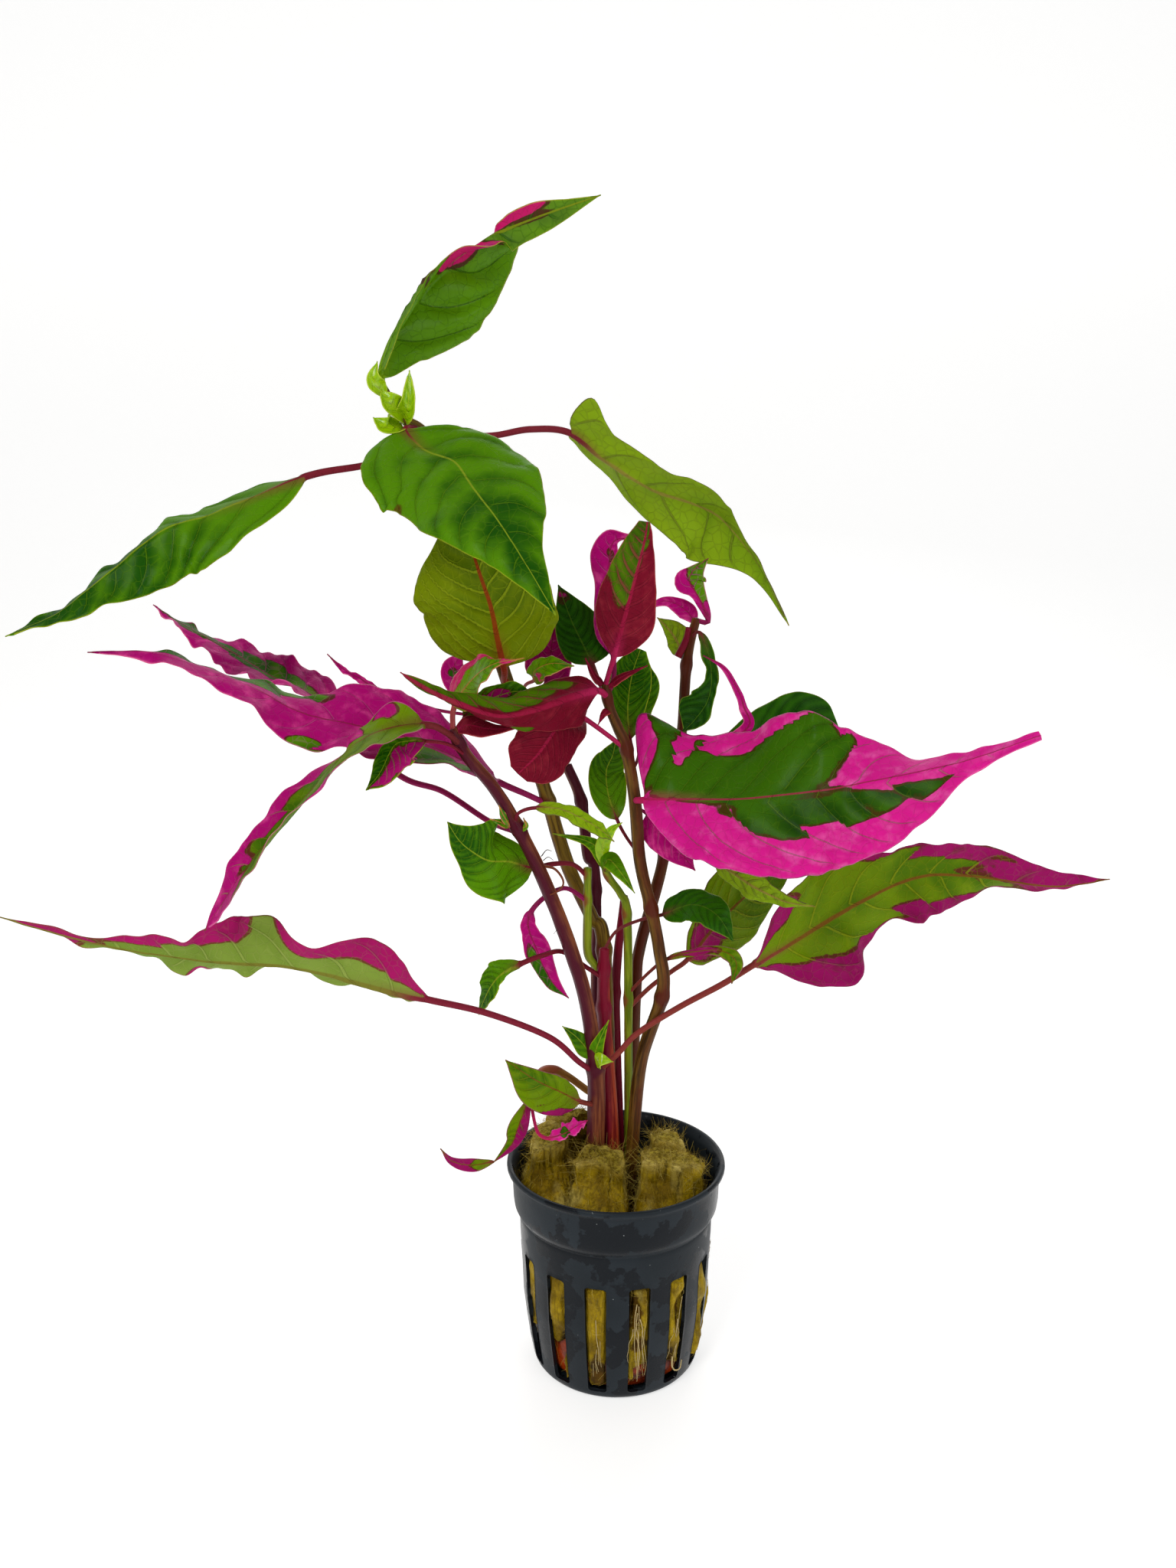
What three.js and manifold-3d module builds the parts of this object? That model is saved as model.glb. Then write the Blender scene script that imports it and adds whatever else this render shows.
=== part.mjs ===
// Potted pink hygrophila corymbosa: a net pot with rock wool, a clay weight,
// ten cut stems and their leaves, each leaf with its own stalk.
// Millimetres, +Z up, the pot stands on z = 0 and its axis is x = 0, y = 0.
import * as THREE from "three";
import Module from "manifold-3d";

const wasm = await Module();
wasm.setup();

// Pot sizes
const RIM_RADIUS = 27;
const POT_HEIGHT = 52;
const COLLAR_RADIUS = 25.7;
const COLLAR_LOW = 38.8;
const BODY_RADIUS = 23.9;
const FOOT_RADIUS = 19.6;
const WALL = 1;
const FLOOR = 1.4;
const POT_SIDES = 28;

// Slots in the side of the pot
const SLOTS = 14;
const SLOT_LOW = 2;
const SLOT_HIGH = 30.7;
const SLOT_TOP_WIDTH = 5.3;
const SLOT_FOOT_WIDTH = 4.5;

// Clay weight, a thick round pebble that leans on the pot floor
const CLAY_RADIUS = 15.5;
const CLAY_HALF = 3.1;
const CLAY_LEAN = 18;
const CLAY_CENTRE = [-1, 0, 9.8];

// Play left between neighbouring pieces
const PLAY = 0.3;

// Leaf blades
const BLADE = 0.7;
const STALK_RADIUS = 0.8;
const STALK_START = 0.6;

const surfaces = {
  pot: { color: 0x2e363b, roughness: 0.42 },
  clay: { color: 0x8c3210, roughness: 0.25 },
  wool: { color: 0x7f6f1c, roughness: 0.95 },
  olive_stem: { color: 0x8a7440, roughness: 0.45 },
  purple_stem: { color: 0x7a4450, roughness: 0.45 },
  green_stem: { color: 0x93a648, roughness: 0.45 },
  green_leaf: { color: 0x5c9a1c, roughness: 0.35 },
  pink_leaf: { color: 0xcb2a90, roughness: 0.4 },
  crimson_leaf: { color: 0x8e1f4e, roughness: 0.4 },
  pale_leaf: { color: 0x9dbb62, roughness: 0.5 },
};

const materials = {};
for (const [name, look] of Object.entries(surfaces)) {
  materials[name] = new THREE.MeshStandardMaterial({ ...look, metalness: 0 });
}

const group = new THREE.Group();
group.name = "potted_pink_hygrophila_corymbosa";

function add(name, geometry, surface) {
  geometry.computeVertexNormals();
  const mesh = new THREE.Mesh(geometry, materials[surface]);
  mesh.name = name;
  group.add(mesh);
}

// Solids are joined or cut as closed bodies that share their vertices
function toBody(geometry) {
  const place = geometry.attributes.position;
  const seen = new Map();
  const corners = [];
  const slot = [];
  for (let i = 0; i < place.count; i += 1) {
    const point = [place.getX(i), place.getY(i), place.getZ(i)];
    const key = point.map((v) => Math.round(v * 1e4)).join(",");
    if (!seen.has(key)) {
      seen.set(key, seen.size);
      corners.push(...point);
    }
    slot.push(seen.get(key));
  }
  const faces = [];
  const index = geometry.index;
  const total = index ? index.count : place.count;
  for (let i = 0; i < total; i += 3) {
    const face = [0, 1, 2].map((k) => slot[index ? index.getX(i + k) : i + k]);
    if (new Set(face).size === 3) {
      faces.push(...face);
    }
  }
  return new wasm.Manifold(new wasm.Mesh({
    numProp: 3,
    vertProperties: new Float32Array(corners),
    triVerts: new Uint32Array(faces),
  }));
}

function toGeometry(body) {
  const mesh = body.getMesh();
  const geometry = new THREE.BufferGeometry();
  const place = new THREE.BufferAttribute(new Float32Array(mesh.vertProperties), 3);
  geometry.setAttribute("position", place);
  geometry.setIndex(new THREE.BufferAttribute(new Uint32Array(mesh.triVerts), 1));
  return geometry;
}

function join(geometries) {
  return toGeometry(geometries.map(toBody).reduce((sum, body) => sum.add(body)));
}

// Rings with the same number of points, skinned and closed by a point at each end
function skin(rings, first, last) {
  const count = rings[0].length;
  const points = [first, ...rings.flat(), last];
  const faces = [];
  const at = (ring, i) => 1 + ring * count + (i % count);
  for (let i = 0; i < count; i += 1) {
    faces.push(0, at(0, i + 1), at(0, i));
    faces.push(points.length - 1, at(rings.length - 1, i), at(rings.length - 1, i + 1));
    for (let ring = 0; ring + 1 < rings.length; ring += 1) {
      faces.push(at(ring, i), at(ring, i + 1), at(ring + 1, i));
      faces.push(at(ring, i + 1), at(ring + 1, i + 1), at(ring + 1, i));
    }
  }
  const geometry = new THREE.BufferGeometry();
  const flat = points.flatMap((p) => [p.x, p.y, p.z]);
  geometry.setAttribute("position", new THREE.Float32BufferAttribute(flat, 3));
  geometry.setIndex(faces);
  return geometry;
}

// A smooth line through points, and a smooth run through single values
const vector = (p) => new THREE.Vector3(...p);
const line = (points) => new THREE.CatmullRomCurve3(points, false, "catmullrom", 0.5);

function value(list, t) {
  if (list.length === 1) {
    return list[0];
  }
  return line(list.map((v, i) => new THREE.Vector3(i, v, 0))).getPoint(t).y;
}

function direction(curve, t) {
  const ahead = curve.getPoint(Math.min(t + 0.001, 1));
  const behind = curve.getPoint(Math.max(t - 0.001, 0));
  return ahead.sub(behind).normalize();
}

// Pot: one turned wall with a rim, a collar and a floor, and slots cut through the side
const outside = [
  [FOOT_RADIUS, 0],
  [FOOT_RADIUS + 1.1, 0.9],
  [21.5, 4.8],
  [22.3, 10.8],
  [23.2, 20],
  [BODY_RADIUS, COLLAR_LOW],
  [25.2, COLLAR_LOW + 2.4],
  [COLLAR_RADIUS, POT_HEIGHT - 1.7],
  [RIM_RADIUS, POT_HEIGHT - 1.3],
  [RIM_RADIUS, POT_HEIGHT - 0.3],
  [RIM_RADIUS - 0.5, POT_HEIGHT],
  [RIM_RADIUS - 1, POT_HEIGHT],
];
const inside = [
  [COLLAR_RADIUS - WALL, POT_HEIGHT - 1.4],
  [25.2 - WALL, COLLAR_LOW + 3],
  [BODY_RADIUS - WALL, COLLAR_LOW + 0.4],
  [23.2 - WALL, 20],
  [19.8, FLOOR],
];
const wall = [[0, 0], ...outside, ...inside, [0, FLOOR]].map((p) => new THREE.Vector2(...p));
const turned = new THREE.LatheGeometry(wall, POT_SIDES);
turned.rotateX(Math.PI / 2);
turned.rotateZ(Math.PI / POT_SIDES);

function slotCutter(angle) {
  const low = SLOT_FOOT_WIDTH / 2;
  const high = SLOT_TOP_WIDTH / 2;
  const shape = new THREE.Shape();
  shape.moveTo(-low, SLOT_LOW);
  shape.lineTo(low, SLOT_LOW);
  shape.lineTo(high, SLOT_HIGH - 0.8);
  shape.lineTo(high - 0.8, SLOT_HIGH);
  shape.lineTo(-high + 0.8, SLOT_HIGH);
  shape.lineTo(-high, SLOT_HIGH - 0.8);
  const cutter = new THREE.ExtrudeGeometry(shape, { depth: 12, bevelEnabled: false });
  cutter.rotateX(Math.PI / 2);
  cutter.translate(0, -15, 0);
  cutter.rotateZ(angle);
  return cutter;
}

let pot = toBody(turned);
for (let i = 0; i < SLOTS; i += 1) {
  pot = pot.subtract(toBody(slotCutter(((i + 0.5) * 2 * Math.PI) / SLOTS)));
}
add("pot", toGeometry(pot), "pot");

// Clay weight: a flat round pebble that leans to the left inside the pot
const clayOutline = [
  [0, -CLAY_HALF],
  [CLAY_RADIUS - 3, -CLAY_HALF],
  [CLAY_RADIUS - 0.8, -CLAY_HALF * 0.6],
  [CLAY_RADIUS, 0],
  [CLAY_RADIUS - 0.8, CLAY_HALF * 0.6],
  [CLAY_RADIUS - 3, CLAY_HALF],
  [0, CLAY_HALF],
].map((p) => new THREE.Vector2(...p));
const clay = new THREE.LatheGeometry(clayOutline, 14);
clay.rotateX(Math.PI / 2);
clay.rotateY(THREE.MathUtils.degToRad(CLAY_LEAN));
clay.translate(...CLAY_CENTRE);
add("clay_weight", toGeometry(toBody(clay)), "clay");

// Rock wool: torn blocks that stand round the stems on the slope of the clay weight
function inPot(point, height, play) {
  let reach = 0;
  for (let i = 0; i + 1 < inside.length; i += 1) {
    const [high, low] = [inside[i], inside[i + 1]];
    if (height <= high[1] && height >= low[1]) {
      const part = (height - low[1]) / (high[1] - low[1]);
      reach = low[0] + (high[0] - low[0]) * part;
    }
  }
  if (height > inside[0][1]) {
    reach = inside[0][0];
  }
  const limit = (reach - play) * Math.cos(Math.PI / POT_SIDES);
  const size = Math.hypot(point[0], point[1]);
  const shrink = Math.min(1, limit / size);
  return [point[0] * shrink, point[1] * shrink];
}

function woolBlock(name, plan, tops) {
  const middle = [0, 1].map((k) => plan.reduce((sum, p) => sum + p[k], 0) / plan.length);
  const high = tops.reduce((sum, v) => sum + v, 0) / tops.length;
  const clayTop = (p) => 13.9 - 0.325 * (p[0] + 1);
  const ring = (inset, level) => plan.map((p, i) => {
    const size = Math.hypot(p[0] - middle[0], p[1] - middle[1]);
    const keep = 1 - inset / size;
    const near = [0, 1].map((k) => middle[k] + (p[k] - middle[k]) * keep);
    const height = level(clayTop(near), tops[i]);
    const [x, y] = inPot(near, height, PLAY + 0.2);
    return new THREE.Vector3(x, y, height);
  });
  const rings = [
    ring(0.9, (low) => low),
    ring(0.2, (low) => low + 3),
    ring(0.4, () => COLLAR_LOW - 1),
    ring(0, () => COLLAR_LOW + 5.5),
    ring(0, (low, top) => Math.max(top - 3.5, COLLAR_LOW + 7)),
    ring(1.6, (low, top) => top),
  ];
  const first = new THREE.Vector3(middle[0], middle[1], clayTop(middle));
  const last = new THREE.Vector3(middle[0], middle[1], high + 0.8);
  add(name, skin(rings, first, last), "wool");
}

woolBlock(
  "wool_left",
  [[-23, -11], [-13.5, -19], [-10, -13], [-8.6, -3], [-9, 4], [-14, 6.5], [-23, 7.5], [-25, -2]],
  [51.5, 49.5, 52, 57.5, 58.5, 58.5, 56.5, 53.5],
);
woolBlock(
  "wool_front",
  [[-12.8, -20], [-4, -24], [3.4, -24], [3.2, -13], [2.8, -6.2], [-2.6, -7.2], [-8.9, -7.2], [-9.2, -13]],
  [48.5, 49, 49, 56.5, 58.5, 59.5, 58, 54.5],
);
woolBlock(
  "wool_right_front",
  [[4.2, -24], [13, -21], [21, -14], [24.5, -5], [23, -0.8], [14, -1.2], [7, -2.2], [3.9, -9]],
  [49, 49.5, 51.5, 53.5, 54.5, 55.5, 55.5, 57],
);
woolBlock(
  "wool_right_back",
  [[7.2, -0.9], [14, 0.2], [20.5, 0.6], [20, 8], [14, 15], [9, 16], [8.3, 10.4], [7.6, 5]],
  [53.5, 53.5, 54, 55.5, 56, 56.5, 56, 55],
);
woolBlock(
  "wool_back",
  [[-19.5, 8.8], [-10.5, 7.6], [-7.6, 12.4], [-2, 13], [4, 12.8], [3, 20], [-6, 21.5], [-14.5, 17]],
  [57, 58.5, 57, 55, 53.5, 52.5, 54, 56.5],
);

// Stems: tapered round rods along smooth lines
const stems = {};

function rod(curve, radii, sides, steps) {
  const rings = [];
  const across = new THREE.Vector3(1, 0.2, 0);
  for (let i = 0; i <= steps; i += 1) {
    const t = i / steps;
    const ahead = direction(curve, t);
    across.addScaledVector(ahead, -across.dot(ahead)).normalize();
    const deep = ahead.clone().cross(across);
    const size = value(radii, t);
    rings.push(Array.from({ length: sides }, (_, k) => {
      const turn = (2 * Math.PI * k) / sides;
      return curve.getPoint(t)
        .addScaledVector(across, size * Math.cos(turn))
        .addScaledVector(deep, size * Math.sin(turn));
    }));
  }
  const start = curve.getPoint(0).addScaledVector(direction(curve, 0), -0.25 * radii[0]);
  const end = curve.getPoint(1).addScaledVector(direction(curve, 1), 0.35 * radii.at(-1));
  return skin(rings, start, end);
}

function stem(name, surface, points, radii, shoots = []) {
  const curve = line(points.map(vector));
  stems[name] = { curve, radii };
  const body = rod(curve, radii, 7, points.length);
  add(name, join([body, ...shoots]), surface);
}

function twig(points, radius) {
  return rod(line(points.map(vector)), [radius], 6, 2);
}

// A bract is a tiny leaf that belongs to its stem
function bract(rib, width) {
  const half = [0.6 * width, width, 0.6 * width, 0];
  const face = [[0, -0.8, 0.6]];
  return leafSolid({ size: "tiny", stalk: [], rib, left: half, right: half, face, blunt: 0.3 });
}

// The place where a leaf stalk starts: beside its stem, or beyond the stem's tip
function stalkStart(spec, radius) {
  const [name, height] = spec.from;
  const { curve, radii } = stems[name];
  const steps = 400;
  let t = 0;
  for (let i = 0; i <= steps; i += 1) {
    if (curve.getPoint(i / steps).z <= height) {
      t = i / steps;
    }
  }
  const centre = curve.getPoint(t);
  const along = direction(curve, t);
  const next = vector([...spec.stalk, ...spec.rib][0]);
  const away = next.clone().sub(centre);
  if (t > 0.995) {
    away.copy(along);
  } else {
    away.addScaledVector(along, -away.dot(along));
  }
  away.normalize();
  const bore = t > 0.995 ? 0.35 * radii.at(-1) : value(radii, t);
  const tilt = next.clone().sub(centre.clone().addScaledVector(away, bore)).normalize().dot(away);
  const reach = bore + PLAY + 0.2 + radius * Math.sqrt(Math.max(0, 1 - tilt * tilt));
  return centre.addScaledVector(away, reach);
}

// A leaf: a round stalk that runs on as the midrib of a thin two-sided blade.
// Left and right list the half widths along the midrib, rise tilts each half
// towards the face in degrees, and curl turns it further on its way to the margin.
const DETAIL = {
  large: { cuts: [0.6], core: true, stations: 8, stalk: 1 },
  middle: { cuts: [0.6], core: true, stations: 5, stalk: 0.8 },
  small: { cuts: [0.55], core: false, stations: 4, stalk: 0.55 },
  tiny: { cuts: [], core: true, stations: 2, stalk: 0.55 },
};

function leafSolid(spec) {
  const { cuts, core, stations, stalk } = DETAIL[spec.size];
  const radius = STALK_RADIUS * stalk;
  const begin = spec.from ? [stalkStart(spec, STALK_START * radius)] : [];
  const route = [...begin, ...[...spec.stalk, ...spec.rib].map(vector)];
  const curve = line(route);
  const whole = route.length - 1;
  const first = route.length - spec.rib.length;
  const blunt = spec.blunt ?? 0.12;
  const rise = spec.rise ?? [[0], [0]];
  const curl = spec.curl ?? [[0], [0]];
  const faces = spec.face.length > 1 ? line(spec.face.map(vector)) : null;

  const section = (t, u) => {
    const ahead = direction(curve, t);
    const face = faces ? faces.getPoint(u) : vector(spec.face[0]);
    face.addScaledVector(ahead, -face.dot(ahead)).normalize();
    const right = ahead.clone().cross(face);
    const thick = radius * (t * whole < first ? Math.min(1, STALK_START + (t * whole) / first) : 1);
    const bar = thick * (1 - u) + 0.45 * BLADE * u;
    const round = Math.sqrt(1 - (1 - Math.min(u / blunt, 1)) ** 2);
    const spot = (side, part, height) => {
      const half = Math.max(0, value(side < 0 ? spec.left : spec.right, u)) * round;
      const open = THREE.MathUtils.clamp((half - bar) / (2 * bar), 0, 1);
      const width = Math.max(half, bar);
      const lean = THREE.MathUtils.degToRad(value(rise[side < 0 ? 0 : 1], u)) * open;
      const bend = THREE.MathUtils.degToRad(value(curl[side < 0 ? 0 : 1], u)) * open || 1e-4;
      const turn = lean + bend * part;
      const x = ((Math.sin(turn) - Math.sin(lean)) / bend) * width;
      const z = ((Math.cos(lean) - Math.cos(turn)) / bend) * width;
      const flat = part === 0 ? bar : (BLADE / 2) * open;
      const depth = height * (part === 0 ? flat : flat + bar * Math.sqrt(1 - part * part) * (1 - open));
      const shift = part === 0 ? 0 : turn;
      return curve.getPoint(t)
        .addScaledVector(right, side * (x - depth * Math.sin(shift)))
        .addScaledVector(face, z + depth * Math.cos(shift));
    };
    const back = [...cuts].reverse();
    return [
      spot(1, 1, 0),
      ...back.map((a) => spot(1, a, -1)),
      ...(core ? [spot(1, 0, -1)] : []),
      ...cuts.map((a) => spot(-1, a, -1)),
      spot(-1, 1, 0),
      ...back.map((a) => spot(-1, a, 1)),
      ...(core ? [spot(1, 0, 1)] : []),
      ...cuts.map((a) => spot(1, a, 1)),
    ];
  };

  const rings = [];
  for (let i = 0; i < first; i += 1) {
    rings.push(section(i / whole, 0));
  }
  const spread = stations > 4 ? [0, blunt * 0.25, blunt * 0.6] : [0, blunt * 0.4];
  for (let i = 0; i < stations; i += 1) {
    spread.push(blunt + ((0.97 - blunt) * i) / (stations - 1));
  }
  spread.forEach((u) => rings.push(section((first + u * (whole - first)) / whole, u)));
  return skin(rings, curve.getPoint(0), curve.getPoint(1));
}

function leaf(name, surface, spec) {
  add(name, leafSolid(spec), surface);
}

stem(
  "stem_tall",
  "olive_stem",
  [
    [-1.5, 3.5, 24], [-1.5, 3.5, 53], [-3, 5, 104], [-6, 6, 112], [-11, 6, 123], [-14, 6, 132],
    [-18, 6, 146], [-27, 6, 173], [-36, 5, 203], [-43, 3, 224], [-48, 1, 229], [-52, 2, 235],
  ],
  [1.8, 1.8, 1.8, 1.8, 1.8, 1.8, 1.7, 1.6, 1.5, 1.3, 1.1, 0.8],
  [
    bract([[-51, 1.5, 233], [-54, -1, 236], [-54, -1.5, 240]], 1.4),
    bract([[-51, 1.5, 234], [-48, -1, 236], [-45.5, -1, 238]], 1.4),
    bract([[-49, 1, 230], [-52, -1.5, 228], [-54.5, -2, 224.5]], 1.8),
  ],
);
stem(
  "stem_front",
  "purple_stem",
  [
    [-5, -4, 24], [-5, -4, 57], [-5, -5, 76], [-7, -5, 93], [-11, -6, 108], [-17, -8, 125],
    [-23, -9, 138], [-28, -10, 147], [-34, -12, 155], [-37, -13, 161],
  ],
  [2.1, 2.1, 2, 1.7, 1.7, 1.6, 1.5, 1.4, 1.3, 1.1],
  [
    bract([[-24.5, -9.2, 138], [-27, -11, 139.5], [-29, -12, 140.5]], 1),
    bract([[-24.5, -9.5, 138], [-26, -11, 141], [-27, -11.5, 143.5]], 1),
    bract([[-22.6, -9, 137], [-21, -10.5, 138.5], [-21.5, -11, 140.5]], 0.8),
    bract([[-36.5, -12.8, 160.5], [-33.5, -13.5, 162], [-30, -13, 161.2], [-26.5, -13, 161], [-22, -13.5, 161.5]], 2.4),
    bract([[-5.5, -5.2, 80], [-9, -5.5, 85], [-13, -5.5, 88.5]], 2.2),
    bract([[-5, -6, 79], [-4, -9, 81.5], [-1, -9, 81]], 2),
    bract([[-5.5, -5, 80], [-4.5, -8, 85], [-2, -8, 91]], 1.6),
  ],
);
stem(
  "stem_right",
  "olive_stem",
  [
    [3, -2, 24], [4, -2, 54], [6, -2, 78], [11, -3, 96], [10, -3, 107], [8, -3, 117], [6, -3, 125],
    [5, -3, 131], [4, -3, 143], [2, -3, 155], [0, -3, 160], [-2, -3, 165], [-3, -3, 170],
  ],
  [1.5, 1.5, 1.5, 1.5, 1.4, 1.4, 1.4, 1.4, 1.4, 1.3, 1.2, 1.1, 1],
  [
    bract([[-3, -3, 169.5], [-5.5, -3.5, 172], [-7.5, -4, 176]], 1),
    bract([[-2.8, -3, 169], [1, -5, 172], [6.5, -5.5, 174.5]], 1),
    bract([[-1.6, -3, 164], [-3.2, -4.8, 163.5], [-4.6, -5.2, 161]], 1),
  ],
);
stem(
  "stem_back",
  "olive_stem",
  [
    [4.5, 6.5, 24], [4, 6.5, 55], [5, 9, 92], [6, 10, 103], [10, 11, 118], [12, 12, 127],
    [15, 13, 148], [16, 13, 158], [17, 13, 175], [19, 13, 184],
  ],
  [1.5, 1.5, 1.4, 1.4, 1.4, 1.3, 1.3, 1.2, 1.2, 1],
  [
    twig([[16.8, 13, 173], [13.8, 12.5, 176.5]], 1),
    bract([[18.8, 13.2, 183], [16.5, 15.5, 186], [12, 16, 188], [6, 14, 186]], 2.6),
  ],
);
stem(
  "stem_red",
  "purple_stem",
  [[-1, -1, 24], [-1, -1, 55], [-3, 0, 91], [-3, 0, 106]],
  [1.9, 1.9, 1.6, 1.2],
);
stem(
  "stem_purple",
  "purple_stem",
  [[1, 6.5, 24], [1, 6.5, 52], [0, 8, 92], [2, 8, 117]],
  [1.2, 1.2, 1.1, 0.9],
);
stem(
  "stem_cut",
  "purple_stem",
  [[-5, 10, 24], [-5, 10, 60], [-5, 9.5, 118], [-9, 9.5, 127], [-8, 10, 140], [-12, 10, 149]],
  [1.3, 1.3, 1.3, 1.3, 1.3, 1.2],
);
stem(
  "stem_green_left",
  "green_stem",
  [[-5.5, 1, 101.8], [-7, 1, 105], [-7, 1, 114], [-7, 0, 126]],
  [0.9, 1, 1, 0.8],
);
stem(
  "stem_green_right",
  "green_stem",
  [
    [3.2, 2.6, 24], [3.2, 2.6, 50], [3, 3, 92], [2.5, 3, 114], [1, 2, 119], [-2, 1, 123.5],
    [-3, 0, 126],
  ],
  [1, 1, 1, 1, 0.9, 0.8, 0.7],
  [
    bract([[-3, 0, 125.5], [-4.5, -2, 131], [-8, -3, 133.5], [-15, -5, 135.5]], 1.8),
    bract([[-3, 0, 125], [-2, -4, 129], [1, -6, 126], [4, -6, 121.5]], 2.2),
    bract([[-3, 0, 126], [-3.5, -3, 132], [-1.5, -4, 136], [1, -4.5, 138]], 1.8),
  ],
);
stem(
  "shoot_low",
  "green_stem",
  [[-4.5, 4.2, 65.8], [-7, 3.5, 68], [-12, 1, 73], [-15.5, -2, 76], [-18.5, -7, 77], [-20.5, -14, 72]],
  [0.8, 0.9, 0.9, 0.9, 0.8, 0.7],
  [
    bract([[-20.7, -12.4, 73.2], [-23.3, -17.6, 68], [-24.5, -21, 66], [-28.5, -25, 63.5]], 2.2),
    bract([[-28.2, -24.6, 63.7], [-33, -27, 64], [-37.5, -27, 65], [-40, -27, 68]], 1.5),
  ],
);

leaf("leaf_top_upright", "green_leaf", {
  size: "large",
  from: ["stem_tall", 236],
  stalk: [],
  rib: [
    [-53, 3, 238], [-51.5, 7, 246], [-48.5, 12, 252.5], [-44, 17, 259], [-38.5, 22, 264.5],
    [-32, 27, 269.5], [-25, 31, 273.5], [-15.5, 34, 279], [-4, 37, 285],
  ],
  left: [5, 10, 13, 12, 8, 4.5, 0],
  right: [7, 12.5, 15.5, 14.5, 8, 5, 0],
  face: [[0.4, -0.9, 0.1], [0.4, -0.9, 0.1], [0.6, -0.5, -0.6], [-0.2, 0.9, 0.3]],
  rise: [[90, 90, 85, 70, 70, 20, 0], [5, 0, 0, 0, 0, 0, 0]],
  curl: [[0], [-20]],
});
leaf("leaf_top_left", "green_leaf", {
  size: "large",
  from: ["stem_tall", 224.5],
  stalk: [[-55, -2, 219]],
  rib: [
    [-69, -5, 216], [-88, -9, 208], [-99, -12, 204], [-110, -15, 195], [-120, -18, 187],
    [-131, -20, 182],
  ],
  left: [4, 11.5, 12, 8, 3.5, 0],
  right: [4, 11.5, 12, 8, 4, 0],
  face: [[-0.2, -0.6, 0.75]],
  rise: [[-15, -15, -35, -30, 0, 0], [-20, -20, -25, -25, -20, 0]],
});
leaf("leaf_top_front", "green_leaf", {
  size: "large",
  from: ["stem_tall", 227],
  stalk: [],
  rib: [
    [-47, -3, 226], [-42, -10, 221], [-35, -18, 218], [-30, -27, 212], [-25, -35, 206],
    [-20, -42, 199], [-13, -50, 188],
  ],
  left: [5, 10.5, 12, 13.5, 11, 5, 0],
  right: [6, 16, 18, 14.5, 11, 5.5, 0],
  face: [[0.1, -0.5, 0.85], [0.1, -0.8, 0.55], [0.2, -0.9, 0.4]],
  rise: [[30, 30, 20, 20, 20, 15, 0], [10, 10, 0, 0, 5, 0, 0]],
  curl: [[-30], [-30]],
});
leaf("leaf_top_right", "pale_leaf", {
  size: "large",
  from: ["stem_tall", 225],
  stalk: [[-36, 6, 225.5], [-28, 8, 226], [-20, 10, 227.5]],
  rib: [
    [-11, 14, 227], [-2, 16, 220.5], [8.5, 17, 214.5], [20.5, 17, 210.5], [27, 17, 206],
    [34.5, 15, 196], [41, 12, 182.5],
  ],
  left: [3, 7, 9, 12, 12.5, 3.5, 0],
  right: [10.5, 13.5, 11.5, 10.5, 9, 4, 0],
  face: [[0.3, 0.75, 0.6]],
  rise: [[30, 30, 5, -25, -15, -20, 0], [-10, -10, -15, -30, -40, -55, -50]],
});
leaf("leaf_ovate", "green_leaf", {
  size: "large",
  from: ["stem_tall", 170],
  stalk: [[-26.5, 2, 170.5], [-26, -2, 172]],
  rib: [
    [-26, -5, 174.5], [-27, -9, 181], [-28, -13, 188], [-30, -16, 195], [-32, -16, 202],
    [-33, -12, 210],
  ],
  left: [8, 13.5, 14, 13, 10, 0],
  right: [8, 15, 17, 16, 12, 0],
  face: [[0.1, 0.9, -0.2]],
  rise: [[0, 10, 0, 10, 25, 20], [5, 5, 5, 20, 40, 30]],
  curl: [[10], [10]],
});
leaf("leaf_back_dark", "green_leaf", {
  size: "middle",
  from: ["stem_right", 167],
  stalk: [[-4.5, 1, 170.5]],
  rib: [[-6, 5, 174], [-8, 8, 178], [-11, 12, 184], [-14, 14, 192]],
  left: [3, 5.5, 4, 0],
  right: [4, 8, 6, 0],
  face: [[0.1, -0.9, 0.3]],
});
leaf("leaf_crimson_upright", "crimson_leaf", {
  size: "middle",
  from: ["stem_right", 171],
  stalk: [[-2, -6, 173.5]],
  rib: [[-1, -9, 177], [1, -13, 185], [3, -15, 193], [5, -14, 201], [6, -11, 206]],
  left: [4, 7, 5, 3.5, 1],
  right: [4, 7, 6.5, 4.5, 2],
  face: [[0, 0.9, -0.3]],
  rise: [[-10, -10, -10, 10, 0], [5, 5, 5, -5, 0]],
});
leaf("leaf_pink_upright", "pink_leaf", {
  size: "middle",
  from: ["stem_right", 167.5],
  stalk: [[-1, 1, 171]],
  rib: [[-1, 5, 176], [-2, 9, 187], [-2, 9, 196], [-1, 8, 203], [3, 6, 204]],
  left: [3, 4, 4.5, 5, 1],
  right: [3, 5, 5, 4, 1],
  face: [[0, -0.9, -0.1]],
});
leaf("leaf_magenta_small", "pink_leaf", {
  size: "small",
  from: ["stem_tall", 162],
  stalk: [[-20, 9, 165]],
  rib: [[-17, 12, 169], [-16, 15, 175], [-15, 17, 183]],
  left: [4, 4, 0],
  right: [4, 4, 0],
  face: [[0, -0.9, 0.2]],
});
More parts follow.
